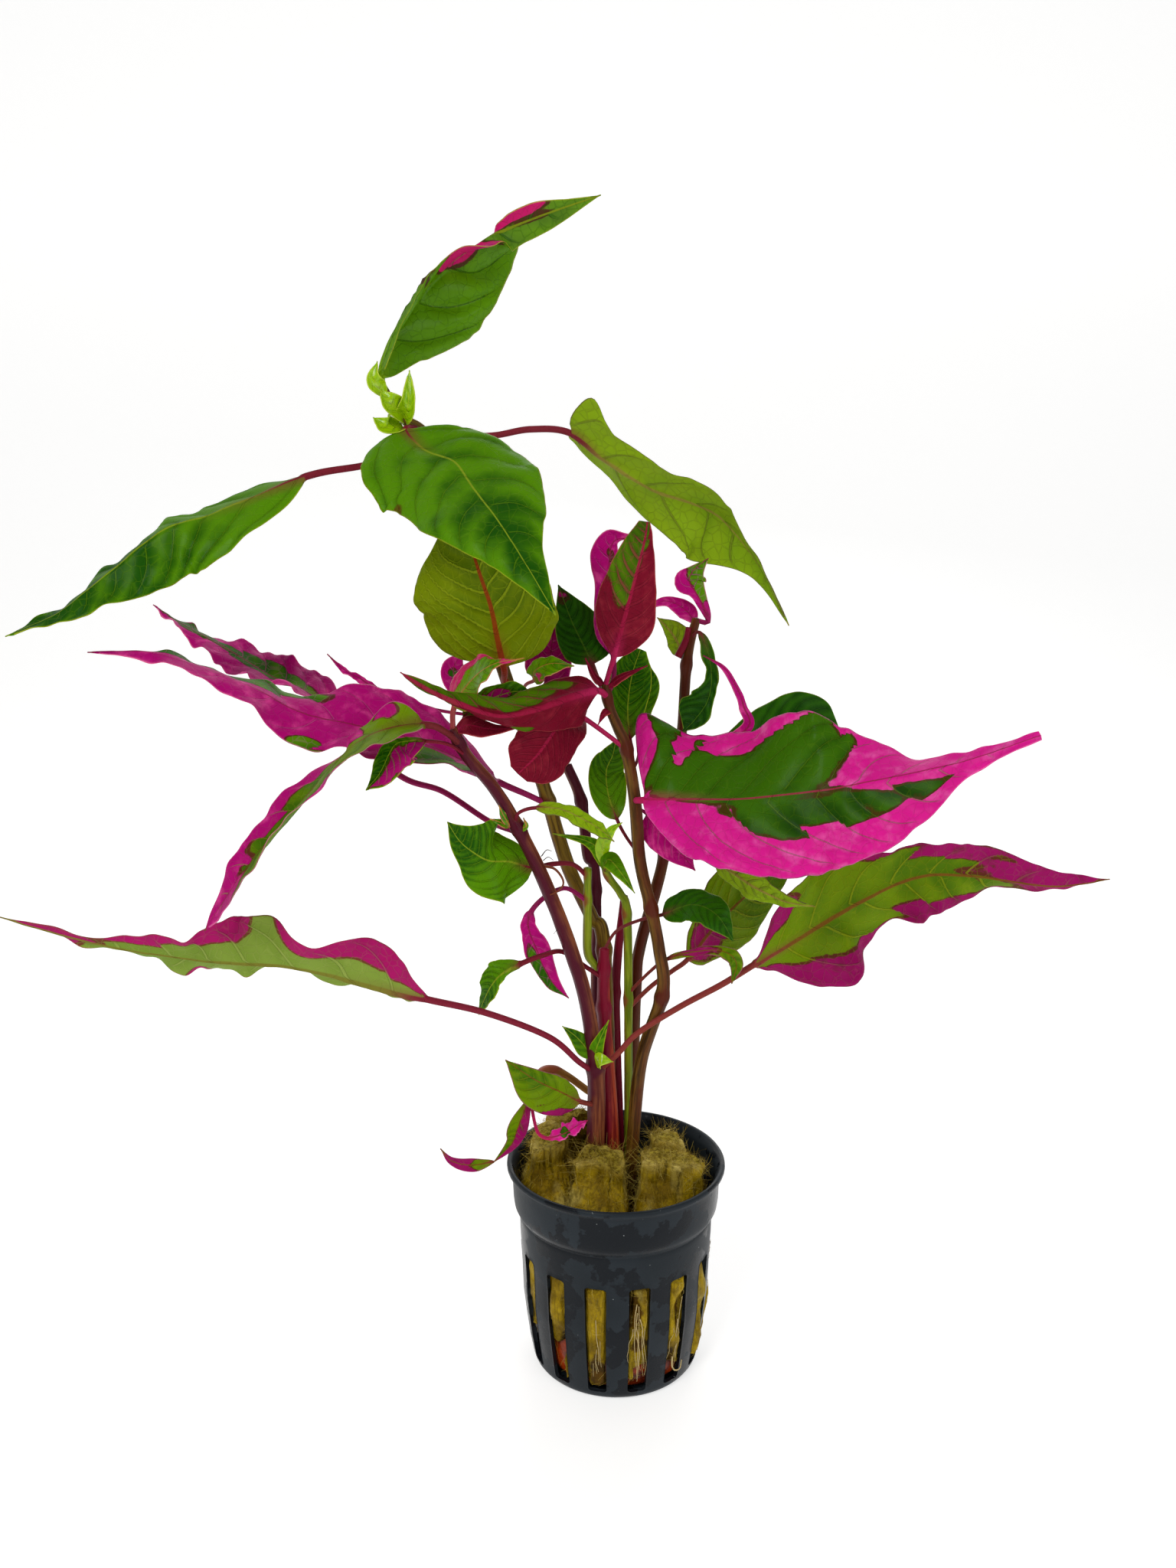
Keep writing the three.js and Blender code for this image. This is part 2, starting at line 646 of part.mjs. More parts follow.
leaf("leaf_boat", "pink_leaf", {
  size: "large",
  from: ["stem_right", 167.5],
  stalk: [],
  rib: [
    [-5, -7, 169], [-11, -12, 168], [-18, -17, 166], [-26, -21, 165], [-34, -24, 168], [-40, -26, 171],
    [-46, -27, 175],
  ],
  left: [4, 6.5, 7.5, 7, 4, 2, 0],
  right: [9, 8.5, 6.5, 6.5, 3.5, 2, 0],
  face: [[0, 0.9, 0.3]],
  rise: [[60, 70, 80, 80, 80, 70, 40], [5, 5, 20, 50, 55, 50, 40]],
  blunt: 0.06,
});
leaf("leaf_crimson_hanging", "crimson_leaf", {
  size: "middle",
  from: ["stem_right", 155],
  stalk: [[-2.5, -3.8, 158.5], [-8, -3.8, 162.5]],
  rib: [[-11.5, -4.8, 164.5], [-14.5, -9.5, 160.5], [-17.5, -12, 155.5], [-22.5, -12.5, 151]],
  left: [5, 6.5, 6.5, 0],
  right: [6.5, 8.5, 5.5, 0],
  face: [[0, 0.9, 0.3]],
  rise: [[-15, -15, 0, 0], [20, 20, 15, 0]],
  blunt: 0.08,
});
leaf("leaf_pink_back", "pink_leaf", {
  size: "small",
  from: ["stem_tall", 160],
  stalk: [[-28, 10, 163]],
  rib: [[-34, 12, 165], [-38, 14, 168], [-39.5, 15, 172], [-37, 15, 176]],
  left: [2, 3, 3, 0],
  right: [2, 3, 3, 0],
  face: [[0, -0.9, 0.2]],
});
leaf("leaf_shoot_glossy", "green_leaf", {
  size: "middle",
  from: ["stem_front", 162],
  stalk: [],
  rib: [[-36.5, -12.5, 166], [-32, -15, 172.3], [-27.5, -18.5, 175.7], [-20.5, -21, 177.5]],
  left: [3, 4, 2, 0],
  right: [3, 3.5, 1.5, 0],
  face: [[-0.3, -0.7, 0.6]],
});
leaf("leaf_curled", "green_leaf", {
  size: "small",
  from: ["stem_tall", 165],
  stalk: [[-22.5, 1, 167.5], [-21, -3, 170]],
  rib: [[-19, -6, 171.3], [-18.5, -8.3, 173.6], [-15, -10, 175.3], [-10, -10, 174.8]],
  left: [2, 2.5, 2, 0],
  right: [2, 3, 3, 0],
  face: [[-0.3, -0.8, 0.3], [0, -0.6, 0.7]],
});
leaf("leaf_shoot_green", "green_leaf", {
  size: "small",
  from: ["stem_right", 153],
  stalk: [[3.5, 1, 154]],
  rib: [[3, 3.5, 156.5], [2.5, 6, 162.5], [3, 8, 168], [4, 9, 172.5], [5.5, 9, 177]],
  left: [1.5, 4, 5, 4.5, 1.5],
  right: [1.5, 4, 5, 4.5, 1.5],
  face: [[0, -0.9, 0.2]],
});
leaf("leaf_shoot_narrow", "green_leaf", {
  size: "small",
  from: ["stem_right", 149.5],
  stalk: [[5, 4, 152]],
  rib: [[5.5, 9, 156], [6, 12, 162], [8, 13, 168], [8, 13, 173]],
  left: [1.5, 2.5, 2.5, 0],
  right: [1.5, 2.5, 2.5, 0],
  face: [[0, -0.9, 0.2]],
});
leaf("leaf_back_folded", "pink_leaf", {
  size: "middle",
  from: ["stem_back", 186],
  stalk: [],
  rib: [[20, 13, 186], [19, 12.5, 189], [19.5, 13.5, 193], [22, 15, 198]],
  left: [2, 5.5, 3, 0],
  right: [1, 2, 2, 0],
  face: [[0, -0.9, 0.2]],
});
leaf("leaf_back_pale", "pale_leaf", {
  size: "small",
  from: ["stem_back", 172],
  stalk: [[16.5, 16, 173]],
  rib: [[16, 17, 175], [15, 18, 178], [13, 19, 181], [10, 19, 184]],
  left: [2, 4, 3, 0],
  right: [2, 2.5, 1.5, 0],
  face: [[0, 0.9, 0.2]],
});
leaf("leaf_back_twisted", "crimson_leaf", {
  size: "small",
  from: ["stem_back", 179.5],
  stalk: [],
  rib: [[19.5, 10, 181], [21.5, 8, 176], [21.5, 5, 168], [15, 4, 162]],
  left: [1.5, 2, 2.5, 0],
  right: [2, 4, 5, 0],
  face: [[0, -0.9, 0.2]],
});
leaf("leaf_left_upper", "pink_leaf", {
  size: "large",
  from: ["stem_front", 137],
  stalk: [[-30, -1, 137.5], [-41.5, 5, 143.5], [-52.5, 10, 146.5]],
  rib: [
    [-66, 14, 158], [-76.5, 18, 166], [-86, 22, 169.5], [-97, 26, 175.5], [-109, 30, 181.5],
    [-118, 34, 186.5],
  ],
  left: [5.5, 9.5, 8.5, 6.5, 3, 0],
  right: [4.5, 9, 8.5, 6.5, 3.5, 0],
  face: [[0, -0.6, 0.8]],
  rise: [[70, 50, 35, 20, 30, 20], [-5, -20, -5, -25, -50, -50]],
});
leaf("leaf_left_pink", "pink_leaf", {
  size: "large",
  from: ["stem_tall", 140],
  stalk: [[-21, 3, 143]],
  rib: [
    [-28, 1.5, 146.5], [-36, -2.5, 152], [-48, -7, 158], [-59, -8, 161], [-71, -9, 164],
    [-82, -10, 170], [-94, -11, 175], [-104, -12, 178], [-117, -12, 178],
  ],
  left: [4, 9, 11, 10.5, 9, 6.5, 4.5, 2.5, 0],
  right: [4, 10, 13.5, 12, 9, 7, 5, 2.5, 0],
  face: [[0, 0.6, 0.7], [0, -0.6, 0.8], [0, -0.8, 0.5]],
  rise: [[-40, -30, -15, 0, 0, 25, 35, 20, 0], [65, 60, 35, 20, -15, -45, -50, -50, -50]],
});
leaf("leaf_left_hanging", "green_leaf", {
  size: "large",
  from: ["stem_front", 157.5],
  stalk: [[-38, -17, 161]],
  rib: [
    [-42, -20, 163], [-51, -24, 162], [-58, -27, 158], [-67, -29, 148], [-75, -30, 139],
    [-82, -29, 130], [-90, -27, 119],
  ],
  left: [3, 8.5, 8.5, 7, 5.5, 5, 0],
  right: [2, 6, 6, 7, 7, 6.5, 6, 5.5, 5, 5, 4.5, 2.5, 0],
  face: [[-0.3, -0.6, 0.7]],
  rise: [[20, 25, 30, 40, 35, 20, 0], [40, 40, -5, -20, -40, -20, 0, 10, 20, 15, 15, 15, 10]],
});
leaf("leaf_left_needle", "pale_leaf", {
  size: "small",
  from: ["stem_tall", 161],
  stalk: [[-32, 9, 161], [-45, 9.5, 163]],
  rib: [[-57, 9, 167.5], [-61, 9, 170], [-65, 8, 172.5], [-68.5, 8, 176]],
  left: [1.2, 1, 0.7, 0],
  right: [1.2, 1, 0.7, 0],
  face: [[0, -0.7, 0.7]],
});
leaf("leaf_left_small", "pink_leaf", {
  size: "small",
  from: ["stem_front", 155],
  stalk: [[-37.5, -17, 158.3]],
  rib: [
    [-42, -20, 159.5], [-45, -23, 159.8], [-47.5, -25, 159.5], [-49, -26, 157.5], [-51, -27, 153.5],
    [-54, -27, 150],
  ],
  left: [1, 3.5, 6, 5.5, 3.5, 0],
  right: [0.8, 1, 1.5, 2.6, 2, 0],
  face: [[-0.2, -0.8, 0.4]],
  rise: [[0], [10]],
});
leaf("leaf_right_big", "pink_leaf", {
  size: "large",
  from: ["stem_right", 143],
  stalk: [],
  rib: [
    [6, -8, 144], [16, -13, 145], [27, -17, 146], [43, -23, 149], [54, -27, 152], [71, -32, 157],
    [85, -36, 163],
  ],
  left: [12, 22, 20, 19, 20, 19, 18, 15, 12.5, 7, 3.5, 1.5, 0],
  right: [4, 8, 13.5, 16, 17, 18.5, 18, 17, 14.5, 10.5, 4, 2, 0],
  face: [[0, -0.75, 0.65]],
  rise: [
    [15, 15, 0, -5, -10, 10, 15, 5, -15, -30, -30, -15, 0],
    [0, 0, 0, 0, -5, -15, -15, -15, -15, -15, 0, 0, 0],
  ],
});
leaf("leaf_right_low", "green_leaf", {
  size: "large",
  from: ["stem_front", 77],
  stalk: [[0, -7, 82], [5, -6, 87], [15, -4.5, 93], [25.5, 0, 97]],
  rib: [
    [33.5, 4, 100.5], [44.5, 9, 105.5], [60, 14, 113], [76, 18, 119], [91, 21, 118.5],
    [112.5, 24, 115], [129, 27, 116],
  ],
  left: [3, 7.5, 13.5, 17, 13.5, 10.5, 12, 10, 8, 5.5, 2.5, 1, 0],
  right: [4.5, 14.5, 13.5, 9, 8.5, 4.5, 0],
  face: [[-0.2, 0.9, 0.2]],
  rise: [[20, 20, -25, -25, -5, 10, -20, -15, 10, 35, 50, 30, 0], [-20, -10, 10, -5, 5, 5, 0]],
});
leaf("leaf_right_round", "green_leaf", {
  size: "middle",
  from: ["stem_back", 136],
  stalk: [[17, 14.5, 138]],
  rib: [[20, 16, 141], [29.5, 22, 145.5], [42, 29, 152], [52, 36, 154.5], [61, 41, 150]],
  left: [4, 8, 10, 9, 0],
  right: [4, 10, 11.5, 9, 0],
  face: [[0, -0.9, 0.2]],
});
leaf("leaf_right_strap", "pink_leaf", {
  size: "middle",
  from: ["stem_back", 147],
  stalk: [],
  rib: [
    [17, 9, 149], [25.5, 8.5, 154], [31.5, 8, 159], [30, 7, 163.5], [28.5, 6, 167.5], [25, 5, 173],
    [20, 4, 176],
  ],
  left: [1.5, 3, 3.5, 2.5, 1.6, 1.2, 0],
  right: [1.5, 3, 3.5, 2.5, 1.6, 1.2, 0],
  face: [[0, -0.9, 0.2]],
});
leaf("leaf_right_narrow", "pale_leaf", {
  size: "middle",
  from: ["stem_back", 129],
  stalk: [[16.5, 7, 130]],
  rib: [[22, 0, 129], [26.5, -4, 126.5], [32, -8, 123.5], [38, -10, 121], [45, -12, 120]],
  left: [2, 4, 4, 2, 0],
  right: [2, 4, 4, 2, 0],
  face: [[0.1, 0.8, 0.4]],
});
leaf("leaf_right_back", "green_leaf", {
  size: "middle",
  from: ["stem_green_right", 90],
  stalk: [[8.5, 4, 95], [14, 7, 98]],
  rib: [[18, 10, 100], [24, 18, 104.5], [31.5, 26, 109.5], [40.5, 34, 114.5], [49.5, 40, 120]],
  left: [3, 8, 12, 8, 0],
  right: [3, 8, 12, 8, 0],
  face: [[0, 0.9, 0.2]],
});
leaf("leaf_right_dark", "green_leaf", {
  size: "small",
  from: ["stem_red", 107],
  stalk: [[0, 0, 110.5], [6, 1, 113]],
  rib: [[11, 0, 114.5], [17.5, -4, 118], [23, -7, 116.5], [27, -8, 110.5]],
  left: [3, 4.4, 4, 0],
  right: [2, 4.6, 4.6, 0],
  face: [[0.2, -0.8, 0.5]],
  rise: [[-10, -10, 0, 0], [15, 15, 10, 0]],
});
leaf("leaf_right_curl", "green_leaf", {
  size: "small",
  from: ["stem_green_right", 94],
  stalk: [[8, 0.5, 100]],
  rib: [[12, -0.5, 103.5], [18, -3, 106], [24.5, -5, 107], [28, -6, 104.5], [27, -7, 99.7]],
  left: [0.8, 1, 1.5, 1.8, 0],
  right: [0.8, 1, 1.5, 1.8, 0],
  face: [[0, -0.7, 0.6]],
});
leaf("leaf_behind_right", "green_leaf", {
  size: "small",
  from: ["stem_right", 130],
  stalk: [[2, 1.5, 133.5]],
  rib: [[0, 4, 137], [-2, 6, 142.5], [-2.5, 7.5, 148], [-1, 7, 152], [-0.2, 6, 156]],
  left: [2, 4, 4.2, 3, 0],
  right: [2, 4.5, 4.5, 3, 0],
  face: [[0, -0.9, 0.1]],
});
leaf("leaf_under_big", "pink_leaf", {
  size: "small",
  from: ["stem_right", 140],
  stalk: [[5.5, 0, 140]],
  rib: [[7, 0.5, 139], [10, 0, 136], [14, -0.5, 131], [18.5, -0.5, 125.5]],
  left: [3, 5, 4, 0],
  right: [3, 5, 4, 0],
  face: [[0, -0.8, 0.4]],
});
leaf("leaf_low_left", "green_leaf", {
  size: "large",
  from: ["stem_front", 77],
  stalk: [[-9, -8, 80.5], [-16, -11, 88], [-30, -14, 95]],
  rib: [
    [-43, -16, 99], [-54, -17, 102], [-71, -20, 108], [-86, -22, 110], [-97, -24, 112],
    [-113, -27, 116], [-133, -30, 123],
  ],
  left: [2, 6, 9.5, 11, 8, 11.5, 11, 9, 7, 4.5, 2, 1, 0],
  right: [2, 5.5, 7, 6.5, 5, 2, 0],
  face: [[0, 0.7, 0.6]],
  rise: [[25, 25, 40, 35, 5, 35, 40, 20, 10, 15, 25, 25, 0], [15, 15, 20, 10, 0, 15, 10]],
});
leaf("leaf_left_ovate", "green_leaf", {
  size: "middle",
  from: ["stem_green_left", 124.5],
  stalk: [[-10.5, -0.5, 127], [-15, -2, 127.5]],
  rib: [
    [-20, -3.5, 127], [-25, -6, 129], [-29.5, -9, 130], [-33, -11, 132.5], [-36, -12, 135.5],
    [-38.5, -13, 140],
  ],
  left: [4, 9.5, 8.5, 5, 2.5, 0],
  right: [3, 5.5, 8.5, 9, 6, 0],
  face: [[-0.1, -0.9, 0.3]],
  rise: [[0, 0, 0, 0], [-10, -10, 0, 0]],
});
leaf("leaf_left_curled", "green_leaf", {
  size: "middle",
  from: ["stem_red", 98.5],
  stalk: [[-7.5, -1.5, 102], [-13, -3.2, 106.3], [-17.5, -8, 107]],
  rib: [
    [-22, -12, 106.5], [-26, -14, 105], [-28.5, -14, 102.5], [-30.5, -12.5, 98.5], [-32.5, -9.5, 93],
  ],
  left: [1, 1, 2, 2, 0],
  right: [1, 3.8, 4, 2.5, 0],
  face: [[-0.2, -0.7, 0.6]],
});
leaf("leaf_red_hanging", "crimson_leaf", {
  size: "middle",
  from: ["stem_green_left", 118],
  stalk: [[-11.5, -0.5, 121], [-14.5, -2, 121], [-17.5, -3.5, 119.5]],
  rib: [
    [-20, -4.5, 117], [-21, -4.5, 114], [-20.5, -4.5, 111], [-19, -4, 107], [-17.5, -4, 103],
    [-15, -4, 98.5], [-11.5, -4, 95],
  ],
  left: [1, 1.8, 2.4, 3.3, 2.8, 1.8, 0],
  right: [1, 1.8, 2.4, 3.3, 2.8, 1.8, 0],
  face: [[-0.2, -0.9, 0.2]],
  rise: [[-5], [-10]],
});
leaf("leaf_low_green", "green_leaf", {
  size: "middle",
  from: ["stem_front", 68],
  stalk: [],
  rib: [[-9, -9, 71], [-13, -13, 75], [-19, -15, 79], [-26, -15, 84]],
  left: [3, 6, 5, 0],
  right: [3, 6, 5, 0],
  face: [[0, -0.8, 0.5]],
});
leaf("leaf_on_wool", "pink_leaf", {
  size: "small",
  from: ["shoot_low", 90],
  stalk: [[-19.2, -17, 69], [-18.2, -18, 67]],
  rib: [[-16, -18, 66], [-12.5, -18, 67], [-9.5, -17, 68.5], [-7, -15, 69]],
  left: [2, 3.5, 3, 0],
  right: [1.5, 2, 2, 0],
  face: [[0, -0.5, 0.8]],
});
leaf("leaf_pale_a", "pale_leaf", {
  size: "small",
  from: ["stem_front", 139],
  stalk: [[-22.5, -12.5, 142]],
  rib: [[-18.5, -14, 143.5], [-12, -15, 143], [-5, -14.5, 139], [-1, -13, 135.5]],
  left: [1.5, 2, 2, 0],
  right: [1.5, 2, 2, 0],
  face: [[0, -0.6, 0.7]],
});
leaf("leaf_behind_boat", "green_leaf", {
  size: "small",
  from: ["stem_front", 158],
  stalk: [],
  rib: [[-34.5, -10.5, 163.5], [-31, -10.5, 166], [-27, -10, 168], [-23, -9.5, 169], [-19, -9, 168.3]],
  left: [1.5, 3, 3, 2.5, 0],
  right: [1.5, 3, 3, 2.5, 0],
  face: [[0, -0.8, 0.5]],
});

export default group;
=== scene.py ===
import bpy
import numpy as np
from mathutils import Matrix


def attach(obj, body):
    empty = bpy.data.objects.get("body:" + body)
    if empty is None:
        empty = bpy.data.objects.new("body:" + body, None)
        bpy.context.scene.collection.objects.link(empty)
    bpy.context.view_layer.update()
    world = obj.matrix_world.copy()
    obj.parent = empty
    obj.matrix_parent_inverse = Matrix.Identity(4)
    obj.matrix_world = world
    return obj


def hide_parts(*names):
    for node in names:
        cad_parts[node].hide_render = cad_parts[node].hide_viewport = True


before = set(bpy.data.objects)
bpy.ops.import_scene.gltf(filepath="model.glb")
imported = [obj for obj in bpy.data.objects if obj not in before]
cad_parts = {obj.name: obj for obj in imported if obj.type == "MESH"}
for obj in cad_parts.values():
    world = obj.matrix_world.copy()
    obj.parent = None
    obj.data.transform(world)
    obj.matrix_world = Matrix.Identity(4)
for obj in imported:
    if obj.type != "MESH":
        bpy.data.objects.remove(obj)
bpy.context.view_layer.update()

# Camera. The photograph was taken by hand from about 0.28 m in front of the pot and 0.2 m
# above its foot, tipped down a little. The pot's rim, slots and foot fix its place and lens.
CAMERA_PLACE = (-0.0069, -0.2833, 0.1993)
CAMERA_TIP_DOWN = 10.6
FOCAL_PIXELS = 1606
FRAME_HEIGHT = 2048
SENSOR = 36

camera = bpy.data.objects.new("camera", bpy.data.cameras.new("camera"))
camera.data.sensor_width = SENSOR
camera.data.lens = SENSOR * FOCAL_PIXELS / FRAME_HEIGHT
camera.data.clip_start = 0.01
camera.location = CAMERA_PLACE
camera.rotation_euler = (np.radians(90 - CAMERA_TIP_DOWN), 0, 0)
bpy.context.collection.objects.link(camera)
bpy.context.scene.camera = camera
bpy.context.scene.view_settings.view_transform = "Standard"


# Pot. One moulded piece of charcoal plastic: a rolled rim, a plain collar, a small step, and a
# tapered side with fourteen slots down to a flat foot. All sizes here are in millimetres.
MM = 0.001
POT_SLOTS = 14
SLOT_PITCH = 2 * np.pi / POT_SLOTS
SLOT_LOW, SLOT_HIGH = 2.0, 30.7
SLOT_FOOT_HALF, SLOT_TOP_HALF = 2.25, 2.65
SLOT_CORNER = 0.8
ROW_SLACK = 0.01
POT_WALL = 1.0
POT_FLOOR = 1.4
POT_FOOT_RADIUS = 19
POT_EDGE_ROUND = 0.22
POT_SIDE = np.array([
    [20.9, 1.7], [21.45, 4.85], [22.3, 10.9], [23.1, 18], [23.35, 26], [23.8, 33], [23.92, 38.4],
    [23.78, 38.9], [24.1, 39.4], [24.75, 40.3], [25.2, 41.3], [25.42, 43], [25.55, 46], [25.65, 49.4],
])
POT_FOOT = [[6, 0.1], [13, 0.05], [19, 0], [19.6, 0], [20.3, 0.3], [20.7, 0.9]]
POT_RIM = [
    [25.8, 50.2], [26.2, 50.5], [26.7, 50.6], [26.95, 50.8], [27, 51.2], [26.95, 51.6], [26.75, 51.9],
    [26.4, 52], [26.05, 51.95], [25.75, 51.7], [25.4, 51.1], [24.9, 50.3],
]
SLOT_COLUMNS = np.array([-1, -0.75, -0.35, 0, 0.35, 0.75, 1])
BAR_COLUMNS = np.array([0.12, 0.3, 0.5, 0.7, 0.88])


def make_piece(name, points, faces, material, replaces=()):
    """A mesh object from points in millimetres and lists of corners, put on the root body."""
    mesh = bpy.data.meshes.new(name)
    mesh.from_pydata((np.asarray(points) * MM).tolist(), [], faces)
    mesh.polygons.foreach_set("use_smooth", np.ones(len(mesh.polygons), bool))
    mesh.materials.append(material)
    mesh.update()
    piece = bpy.data.objects.new(name, mesh)
    bpy.context.collection.objects.link(piece)
    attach(piece, "root")
    if replaces:
        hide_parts(*replaces)
    return piece


def skin(rings, first, last, keep=slice(None)):
    """Closes a stack of rings into one skin: quads between neighbouring rings, and a fan of
    triangles to a point at each end. The rings turn anticlockwise about the way they go. Keep
    is a mask of the quads that are made."""
    count, around = rings.shape[:2]
    place = np.arange(count * around).reshape(count, around)
    beside = np.roll(place, -1, 1)
    quads = np.stack([place[:-1], beside[:-1], beside[1:], place[1:]], -1)[keep]
    start = np.stack([np.full(around, count * around), beside[0], place[0]], -1)
    end = np.stack([np.full(around, count * around + 1), place[-1], beside[-1]], -1)
    points = np.concatenate([rings.reshape(-1, 3), [first, last]])
    return points, quads.reshape(-1, 4).tolist() + start.tolist() + end.tolist()


def turned(radius, angle, height):
    """Points at these radii, angles and heights about an upright axis."""
    return np.stack(np.broadcast_arrays(radius * np.cos(angle), radius * np.sin(angle), height), -1)


class Value:
    """What a shader node puts out. Sums, differences and products of it are Math nodes."""

    def __init__(self, socket):
        self.socket = socket

    def __add__(self, other):
        return calc("ADD", self, other)

    def __sub__(self, other):
        return calc("SUBTRACT", self, other)

    def __rsub__(self, other):
        return calc("SUBTRACT", other, self)

    def __mul__(self, other):
        return calc("MULTIPLY", self, other)


def set_inputs(node, inputs):
    """Sets a node's inputs. Each is a plain value, or a Value or socket that is linked to it."""
    for key, value in inputs.items():
        source = value.socket if isinstance(value, Value) else value
        if isinstance(source, bpy.types.NodeSocket):
            node.id_data.links.new(source, node.inputs[key])
        else:
            node.inputs[key].default_value = source


def add_node(tree, kind, output, inputs, **settings):
    """A shader node with its inputs and settings. Gives the Value of one of its outputs."""
    node = tree.nodes.new(kind)
    for key, value in settings.items():
        setattr(node, key, value)
    set_inputs(node, inputs)
    return Value(node.outputs[output])


def calc(operation, *values):
    """One Math node, in the node tree of the Values that it is given."""
    tree = next(value for value in values if isinstance(value, Value)).socket.id_data
    return add_node(tree, "ShaderNodeMath", 0, dict(enumerate(values)), operation=operation)


def ramp(value, low, high):
    """An S-curve from 0 at low to 1 at high."""
    inputs = {"Value": value, "From Min": low, "From Max": high}
    tree = value.socket.id_data
    return add_node(tree, "ShaderNodeMapRange", "Result", inputs, interpolation_type="SMOOTHSTEP")


def colour(red, green, blue):
    """A colour given as it looks on screen, 0 to 255, turned into linear light."""
    screen = np.array([red, green, blue]) / 255
    linear = np.where(screen < 0.04045, screen / 12.92, ((screen + 0.055) / 1.055) ** 2.4)
    return (*linear.tolist(), 1)


def mix(factor, first, second):
    """Blends two colours by a factor. A plain colour is given as it looks on screen."""
    first, second = (colour(*tone) if isinstance(tone, tuple) else tone for tone in (first, second))
    inputs = {0: factor, 6: first, 7: second}
    return add_node(factor.socket.id_data, "ShaderNodeMix", 2, inputs, data_type="RGBA")


def object_place(tree):
    """The place on the object, in metres."""
    return add_node(tree, "ShaderNodeTexCoord", "Object", {})


def noise(tree, scale, detail, vector=None):
    """Smooth noise from 0 to 1, with scale in lumps to the metre on Object coordinates."""
    inputs = {"Vector": vector or object_place(tree), "Scale": scale, "Detail": detail, "Roughness": 0.55}
    return add_node(tree, "ShaderNodeTexNoise", "Fac", inputs)


def new_material(name):
    """An empty material: itself, its node tree and its Principled BSDF."""
    material = bpy.data.materials.new(name)
    material.use_nodes = True
    return material, material.node_tree, material.node_tree.nodes["Principled BSDF"]


def finish_material(shader, base, rough, height, values):
    """Links colour, roughness and a bump whose height is in millimetres, and sets plain values."""
    bump = add_node(shader.id_data, "ShaderNodeBump", "Normal", {"Height": height, "Distance": MM})
    set_inputs(shader, {"Base Color": base, "Roughness": rough, "Normal": bump, **values})


def pot_plastic():
    """Charcoal plastic: dry and satin, with darker, glossier damp patches and a few pale specks."""
    material, tree, shader = new_material("pot_plastic")
    damp = ramp(noise(tree, 95, 4) + noise(tree, 420, 3) * 0.22, 0.60, 0.64)
    dry = mix(ramp(noise(tree, 45, 2), 0.35, 0.7), (28, 34, 39), (36, 43, 49))
    specks = ramp(noise(tree, 1300, 1), 0.79, 0.83)
    base = mix(specks * 0.5, mix(damp, dry, (18, 22, 27)), (170, 176, 176))
    height = noise(tree, 2600, 2) * 0.03 + noise(tree, 160, 2) * 0.10
    finish_material(shader, base, 0.44 - damp * 0.2, height, {"Specular IOR Level": 0.13})
    return material


def side_radius(z):
    """The radius of the pot's outer side at a height."""
    return np.interp(z, POT_SIDE[:, 1], POT_SIDE[:, 0])


def slot_angle(number):
    """Where the middle of a slot is, counted anticlockwise from the front."""
    return SLOT_PITCH * (number + 0.5) - np.pi / 2


def slot_half(z):
    """Half the slot's width at a height: a straight taper, drawn in by a round corner at each end."""
    taper = np.interp(z, [SLOT_LOW, SLOT_HIGH], [SLOT_FOOT_HALF, SLOT_TOP_HALF])
    past = np.maximum(z - (SLOT_HIGH - SLOT_CORNER), SLOT_LOW + SLOT_CORNER - z)
    past = np.clip(past, 0, SLOT_CORNER)
    return taper - SLOT_CORNER + np.sqrt(SLOT_CORNER ** 2 - past ** 2)


